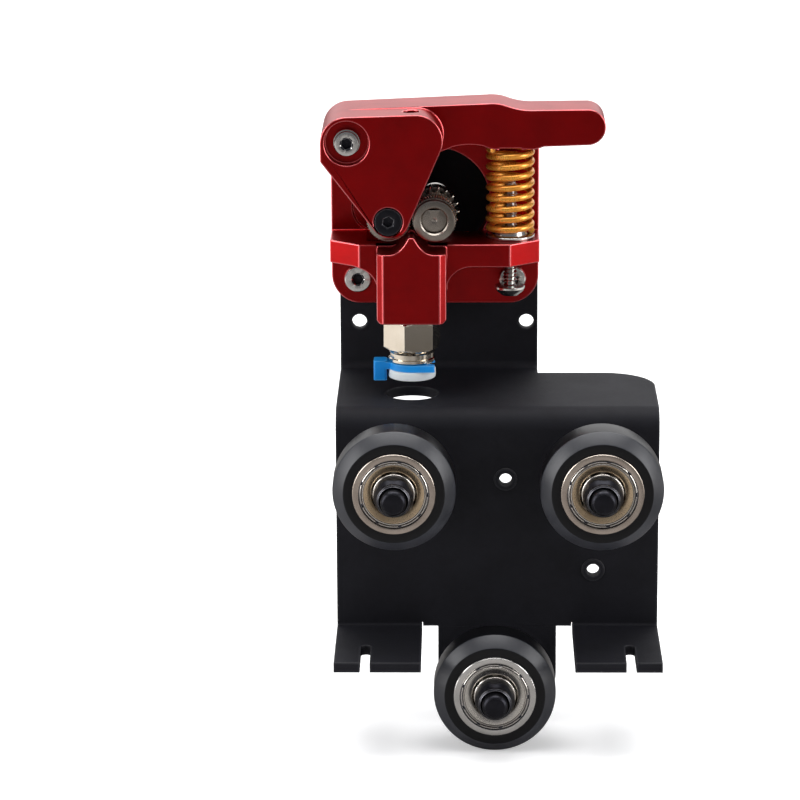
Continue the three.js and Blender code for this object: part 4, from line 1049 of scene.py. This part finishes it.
def gear_profile(phase, front, bore, back):
    hub, neck, root = GEAR.hub, GEAR.neck, GEAR.root
    tooth = spur(phase)
    narrow = lambda angle: min(tooth(angle), GEAR.tip - 0.3)
    first, last = GEAR_Y.spur_front, GEAR_Y.spur_back
    profile = [(bore + 0.25, front), (hub - 0.3, front), (hub - 0.08, front + 0.1), (hub, front + 0.35)]
    profile += [(hub, GEAR_Y.hob_front - 0.12), (hub - 0.15, GEAR_Y.hob_front - 0.02)]
    profile += hob_rows() + [(neck + 0.25, GEAR_Y.hob_back + 0.05), (neck, GEAR_Y.hob_back + 0.3)]
    profile += [(neck, first - 0.05), (root - 0.1, first), (narrow, first), (tooth, first + 0.25)]
    profile += [(tooth, last - 0.25), (narrow, last), (root - 0.1, last)]
    if back > last:
        profile += [(hub, last + 0.02), (hub, back - 0.3), (hub - 0.3, back)]
    return profile + [(bore + 0.2, back), (bore, back - 0.2), (bore, front + 0.25)]


def gears():
    rows = gear_profile(math.pi, GEAR_Y.front, GEAR.bore, GEAR_Y.back)
    drive = turned("drive", rows, closed=True, segments=288)
    mid = (GEAR_Y.spur_back + GEAR_Y.back) / 2
    combine(drive, "DIFFERENCE", post(GEAR.grub_hole, 0, GEAR.hub + LAP, 0, mid))
    smooth_piece(drive, "drive_gear", EXTRUDER, [GEAR_STEEL], 26)

    axis = on_extruder(-SPACING, 0, 0)
    front = GEAR_Y.hob_front - 0.4
    rows = gear_profile(math.pi / GEAR.teeth, front, 2.6, GEAR_Y.spur_back + 0.01)
    turned_piece("idler_gear", axis, [GEAR_STEEL], "gear_steel", rows, 26, closed=True, segments=288)
    first, last = GEAR_Y.hob_front + 0.4, GEAR_Y.spur_back - 0.6
    rows, steel = ring_section(1.56, 2.54, first, last), [BEARING_STEEL]
    turned_piece("idler_needle_bearing", axis, steel, "bearing_steel", rows, closed=True, ease=0.18)

    front = GEAR_Y.front + 1
    radius, end = SHAFT.radius, SHAFT.end
    rows = [(0, front), (0.35, front + 0.12), (0.55, front), (radius, front), (radius, end), (0, end)]
    shaft = turned("shaft", rows, ease=0.18)
    combine(shaft, "DIFFERENCE", box(-3, 3, front - LAP, SHAFT.flat_end, SHAFT.flat, 3))
    smooth_piece(shaft, "motor_shaft_stub", EXTRUDER, [GEAR_STEEL])

    socket, tip, top = hexagon(1.3), 2.05, GEAR.hub - 0.2
    rows = [(0, tip), (0.8, tip), (1.1, tip + 0.25)] + thread(1.08, 1.27, 0.5, tip + 0.3, top - 0.15)
    rows += [(1.05, top), (socket, top), (socket, top - 0.8), (0, top - 1)]
    place, black = on_extruder(0, mid, 0), [BLACK_OXIDE_AND_SHADE]
    turned_piece("drive_gear_grub_screw", place, black, "black_oxide", rows, axis="Z", segments=48)


gears()


# ---------------- spring, screws and washers

def helix():
    """Centre line of the spring, with its closed end coils lying flat."""
    turns, wire = SPRING.turns, SPRING.wire
    closing = 0.1
    count = round(turns * 40)
    flat_rise = wire * 2.05 * turns
    climb = SPRING.top - SPRING.bottom - 2 * flat_rise * closing
    points = []
    for t in steps(0, 1, count):
        share = min(1, max(0, (t - closing) / (1 - 2 * closing)))
        ends = flat_rise * (min(t, closing) + max(t - 1 + closing, 0))
        points.append((t * turns * FULL, SPRING.radius, SPRING.bottom + ends + climb * share))
    return points


def tension_spring():
    bm = bmesh.new()
    wire_into(bm, helix(), SPRING.wire, sides=16, axis="Z")
    spring = linked("fine_tension_spring", bm)
    soften(spring.data, 50)
    spring.data.materials.append(SPRING_GOLD)
    spring.data.transform(Matrix.Translation(on_extruder(SPRING.x, SPRING.y, 0)))
    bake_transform(spring)
    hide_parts("tension_spring")


def button_head(radius, height, socket, depth, top):
    """Rows of a domed head from its rim to the bottom of its hexagon socket."""
    dome, fall = height * 0.72, (radius - socket) * 0.75
    rows = [(radius, top + height), (radius, top + dome)]
    for t in (0.3, 0.6, 0.9, 1.2):
        rows.append((radius - fall * (1 - math.cos(t)), top + dome * (1 - math.sin(t))))
    key = hexagon(socket)
    return rows + [(socket * 0.66, top), (key, top + 0.12), (key, top + depth), (0, top + depth + 0.3)]


def paint_socket_shade(obj, axis, key, top, depth=1.5):
    """Gives the walls and floor of a key socket the second material, a dark finish that paints the shade
    inside the socket.
    """
    for face in obj.data.polygons:
        x, y, z = (value / MM for value in face.center)
        along, across = (y, z) if axis == "Y" else (z, y)
        if math.hypot(x, across) < key * 0.6 and 0.04 < abs(along - top) < depth:
            face.material_index = 1


def motor_screw(node, x, z, sunk=0.0):
    """A button-head screw of the motor, its head sunk into the base by a given depth."""
    seat, radius, height, key = sunk - BASE.flange - CONTACT, 1.5, 1.7, 2.0
    rows = [(0, 6.5), (1.1, 6.5)] + thread(1.22, radius, 0.5, 6.3, 1.8) + [(radius, 1.5), (radius, seat)]
    rows += button_head(2.85, height, key, 1.0, seat - height)
    place = on_extruder(x, 0, z)
    finishes = [STAINLESS, BLACK_OXIDE_AND_SHADE]
    screw = turned_piece(node, place, finishes, "stainless", rows, 28, segments=60)
    paint_socket_shade(screw, "Y", key, seat - height)


def socket_screw(node, x, z, material, slot, seat, end, shank, head, head_top, turn, key=2):
    """A cylinder-head screw that points away from the viewer."""
    hole = hexagon(key)
    rows = [(0, end), (shank, end), (shank, seat), (head, seat), (head, head_top + 0.3)]
    rows += [(head - 0.12, head_top + 0.08), (head - 0.35, head_top), (key * 0.66, head_top)]
    rows += [(hole, head_top + 0.12), (hole, head_top + 1.1), (0, head_top + 1.35)]
    place = on_extruder(x, 0, z)
    screw = turned_piece(node, place, [material, BLACK_OXIDE_AND_SHADE], slot, rows, 28, turn=turn)
    paint_socket_shade(screw, "Y", key, head_top)


def fasteners():
    for corner, (x, z) in MOTOR_SCREWS.items():
        motor_screw(f"motor_screw_{corner}", x, z, 2.0 if corner == "upper_right" else 0.0)
    front = ARM.front
    socket_screw(
        "idler_screw", -SPACING, 0, BLACK_OXIDE_AND_SHADE, "black_oxide",
        seat=front + 0.98, end=ARM.back - 0.6, shank=1.5, head=2.75, head_top=front - 0.1, turn=0.4,
    )
    seat = front + 1.05
    socket_screw(
        "pivot_screw", *PIVOT, STAINLESS, "stainless",
        seat=seat, end=-0.4, shank=1.25, head=2.45, head_top=seat - 1.3, turn=0.3,
    )
    place = on_extruder(PIVOT[0], 0, PIVOT[1])
    rows = ring_section(1.35, 2.65, front + 1.1, front + 2.1)
    turned_piece("pivot_washer", place, [STAINLESS], "stainless", rows, closed=True, ease=0.15)

    top, low, radius = -15.6, -17.5, 3
    rows = [(0, 6), (1.0, 6)] + thread(1.02, 1.45, 0.8, 5.8, top + 0.4, 10)
    rows += [(1.3, top + 0.1), (radius - 0.1, top), (radius, top - 0.12), (radius, top - 0.5)]
    rows += [(radius - 0.35, top - 1.1), (radius - 1.0, low + 0.25), (1.7, low), (1.35, low)]
    rows += [(hexagon(2), low + 0.1), (hexagon(2), low + 1.1), (0, low + 1.3)]
    place, bright = on_extruder(SPRING.x, SPRING.y, 0), [STAINLESS_UPRIGHT]
    turned_piece("tension_screw", place, bright, "stainless", rows, 28, axis="Z", segments=48)

    low = BEAM.top + CONTACT
    high = SPRING.bottom - SPRING.wire - 0.05
    rows = [(1.51, low), (4.9, low), (4.9, high), (3.4, high), (3.1, high + 1.6), (1.51, high + 1.6)]
    turned_piece("spring_seat_nut", place, bright, "stainless", rows, axis="Z", closed=True, ease=0.12)


tension_spring()
fasteners()


# ---------------- tube fitting

def tube_fitting():
    place = on_extruder(*FILAMENT, 0)
    flats, corner = FITTING.flats, FITTING.flats / math.sqrt(3)
    top = BLOCK.bottom - CONTACT
    hex_bottom = top - FITTING.hex
    bottom = hex_bottom - FITTING.collar_height
    collar, sleeve = FITTING.collar, 3.16
    full = hexagon(flats)

    def shoulder(end, inward, shares):
        """The hexagon's corners, turned off towards one of its ends."""
        reach = corner - flats / 2
        return [(capped_hexagon(flats, flats / 2 + reach * s), end + inward * 0.55 * s) for s in shares]

    profile = [(1, top + 7), (4.4, top + 7)] + thread(4.15, 4.7, 1.0, top + 6.8, top + 0.6)
    profile += [(4.3, top + 0.35), (4.3, top), (flats / 2 - 0.15, top)] + shoulder(top, -1, (0.3, 0.65, 1))
    profile += [(full, top - 0.8), (full, hex_bottom + 0.8)] + shoulder(hex_bottom, 1, (1, 0.65, 0.3))
    profile += [(flats / 2 - 0.1, hex_bottom), (collar, hex_bottom - 0.15), (collar - 0.1, hex_bottom - 0.5)]
    profile += [(collar - 0.35, hex_bottom - 0.7), (collar - 0.35, bottom + 1.0)]
    profile += [(collar - 0.1, bottom + 0.8), (collar - 0.1, bottom + 0.3), (collar - 0.45, bottom)]
    profile += [(sleeve + 0.2, bottom), (sleeve, bottom + 0.2), (sleeve, top - 1), (1, top - 1)]
    how = {"axis": "Z", "closed": True, "turn": FITTING.turn}
    turned_piece("fitting_body", place, [NICKEL], "nickel", profile, 24, **how)

    low, high = (corner.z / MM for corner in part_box("fitting_collet"))
    low, high = low - EXTRUDER.z / MM, high - EXTRUDER.z / MM
    bore, stem, flange, step = 2.1, 3.1, 4.7, low + 1.8
    rows = [(bore, low), (flange, low), (flange, step), (stem, step), (stem, high), (bore, high)]
    turned_piece("fitting_collet", place, [WHITE], "white_plastic", rows, axis="Z", closed=True, ease=0.35)


def collet_clip():
    """A C-shaped clip between the collet's flange and the fitting, with a finger tab."""
    place = on_extruder(*FILAMENT, 0)
    low, high = (corner.z / MM - EXTRUDER.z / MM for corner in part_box("collet_clip"))
    thickness, handle_rise = 1.38, 0.25
    top = high - handle_rise
    bottom = top - thickness
    inner, outer, width, reach = 3.2, 4.6, 3.4, 7.4
    limb, tip = 4.5, 0.3
    outline = [(limb - tip, outer), (0, outer)] + arc(0, 0, outer, 90, 270)
    outline += [(0, -outer), (limb - tip, -outer), (limb, tip - outer), (limb, -inner - tip)]
    outline += [(limb - tip, -inner), (0, -inner)] + arc(0, 0, inner, 270, 90)
    outline += [(0, inner), (limb - tip, inner), (limb, inner + tip), (limb, outer - tip)]
    clip = prism(outline, "Z", bottom, top)
    half, root, corner = width / 2, -inner - 0.4, 0.5
    neck = prism([(-reach, -half), (root, -half), (root, half), (-reach, half)], "Z", bottom, top)
    pad = rounded(-reach - 0.2, 2.4 - reach, -half, half, corner, corner, corner, corner)
    handle = prism(pad, "Z", low, high)
    combine(clip, "UNION", neck, handle)
    tidy(clip)
    machined_piece(clip, "collet_clip", place, [BLUE, BLUE], "blue_plastic", 0.18, clamped=True)


tube_fitting()
collet_clip()


# ---------------- studio

# Bands of the floor's painted reflection: a dim middle, pale sides and a dark strip.
REFLECTION_BANDS = Sizes(dim_half=0.18, fade=0.12, strip=0.14, strip_half=0.1)  # metres


def stage_material():
    """A pale floor. The colour that mirror-like reflections see is a painted reflection: dim in the
    middle, pale far to both sides, and with a black strip on the right."""
    g = Graph("studio_floor")
    pale, dim = shade(246, 246, 246), shade(150, 148, 147)
    tone = g.blend(g.noise(60, 2.0), pale, shade(243, 243, 244))
    across = g.add("SeparateXYZ", None, Vector=g.add("TexCoord").outputs["Object"]).outputs["X"]
    aside = g.maths("SUBTRACT", g.maths("ABSOLUTE", across), REFLECTION_BANDS.dim_half)
    far = g.maths("DIVIDE", aside, REFLECTION_BANDS.fade, clamp=True)
    from_strip = g.maths("ABSOLUTE", g.maths("SUBTRACT", across, REFLECTION_BANDS.strip))
    near_strip = g.maths("SUBTRACT", 1.0, g.maths("DIVIDE", from_strip, REFLECTION_BANDS.strip_half), clamp=True)
    # The painted reflection: dim middle, pale sides, dark strip on the right.
    painted_reflection = g.blend(near_strip, g.blend(far, dim, shade(222, 218, 214)), shade(40, 37, 34))
    rays = g.add("LightPath").outputs
    g.feed(g.surface.inputs["Base Color"], g.blend(rays["Is Glossy Ray"], tone, painted_reflection))
    g.feed(g.surface.inputs["Emission Color"], pale)
    g.feed(g.surface.inputs["Emission Strength"], g.maths("MULTIPLY", rays["Is Camera Ray"], 0.35))
    g.feed(g.surface.inputs["Roughness"], 0.9)
    g.feed(g.surface.inputs["Specular IOR Level"], 0.1)
    return g.material


def floor():
    bm = bmesh.new()
    size = 6.0
    low = cad_box[0].z
    corners = [(-size, -size), (size, -size), (size, size), (-size, size)]
    bm.faces.new([bm.verts.new((x, y, low)) for x, y in corners])
    plane = linked("studio_floor", bm)
    plane.data.materials.append(stage_material())


def softbox(name, place, size, power, target=(0, 0, 0.03)):
    lamp = bpy.data.lights.new(name, "AREA")
    lamp.shape = "RECTANGLE"
    lamp.size, lamp.size_y = size
    lamp.energy = power
    obj = bpy.data.objects.new(name, lamp)
    obj.location = place
    obj.rotation_mode = "QUATERNION"
    obj.rotation_quaternion = (Vector(target) - Vector(place)).to_track_quat("-Z", "Y")
    bpy.context.scene.collection.objects.link(obj)


def studio():
    floor()
    softbox("overhead_box", (0, 0.15, 0.95), (1.1, 1.0), 14.5)
    softbox("left_box", (-0.95, -0.35, 0.3), (0.5, 0.9), 7)
    softbox("right_box", (0.95, -0.35, 0.3), (0.5, 0.9), 7)
    softbox("back_box", (0, 1.3, 0.5), (2.0, 0.9), 6.5)

    world = bpy.data.worlds.new("studio_air")
    bpy.context.scene.world = world
    world.use_nodes = True
    tree = world.node_tree
    sky = tree.nodes["Background"]
    path = tree.nodes.new("ShaderNodeLightPath")
    mix = tree.nodes.new("ShaderNodeMix")
    mix.data_type = "RGBA"
    for_light, for_camera = mix.inputs[6], mix.inputs[7]
    for_light.default_value = (0.16, 0.16, 0.17, 1)
    for_camera.default_value = (0.93, 0.93, 0.93, 1)
    tree.links.new(path.outputs["Is Camera Ray"], mix.inputs[0])
    tree.links.new(mix.outputs[2], sky.inputs["Color"])
    bpy.context.scene.view_settings.view_transform = "Standard"


def camera():
    """The photograph's viewpoint: in front of the wheels and a little above, with a long lens."""
    place = Vector((-6.22, -699.96, 222.09)) * MM
    yaw, pitch, roll = (math.radians(angle) for angle in (1.052, -15.093, -0.294))
    ahead = Vector((-math.sin(yaw) * math.cos(pitch), math.cos(yaw) * math.cos(pitch), math.sin(pitch)))
    right = ahead.cross((0, 0, 1)).normalized()
    up = right.cross(ahead)
    right, up = right * math.cos(roll) + up * math.sin(roll), up * math.cos(roll) - right * math.sin(roll)
    data = bpy.data.cameras.new("photo_view")
    data.sensor_width = 36
    data.lens = 166.7
    data.clip_start, data.clip_end = 0.05, 20
    view = bpy.data.objects.new("photo_view", data)
    axes = Matrix((right, up, -ahead)).transposed()
    view.matrix_world = Matrix.Translation(place) @ axes.to_4x4()
    bpy.context.scene.collection.objects.link(view)
    bpy.context.scene.camera = view


studio()
camera()
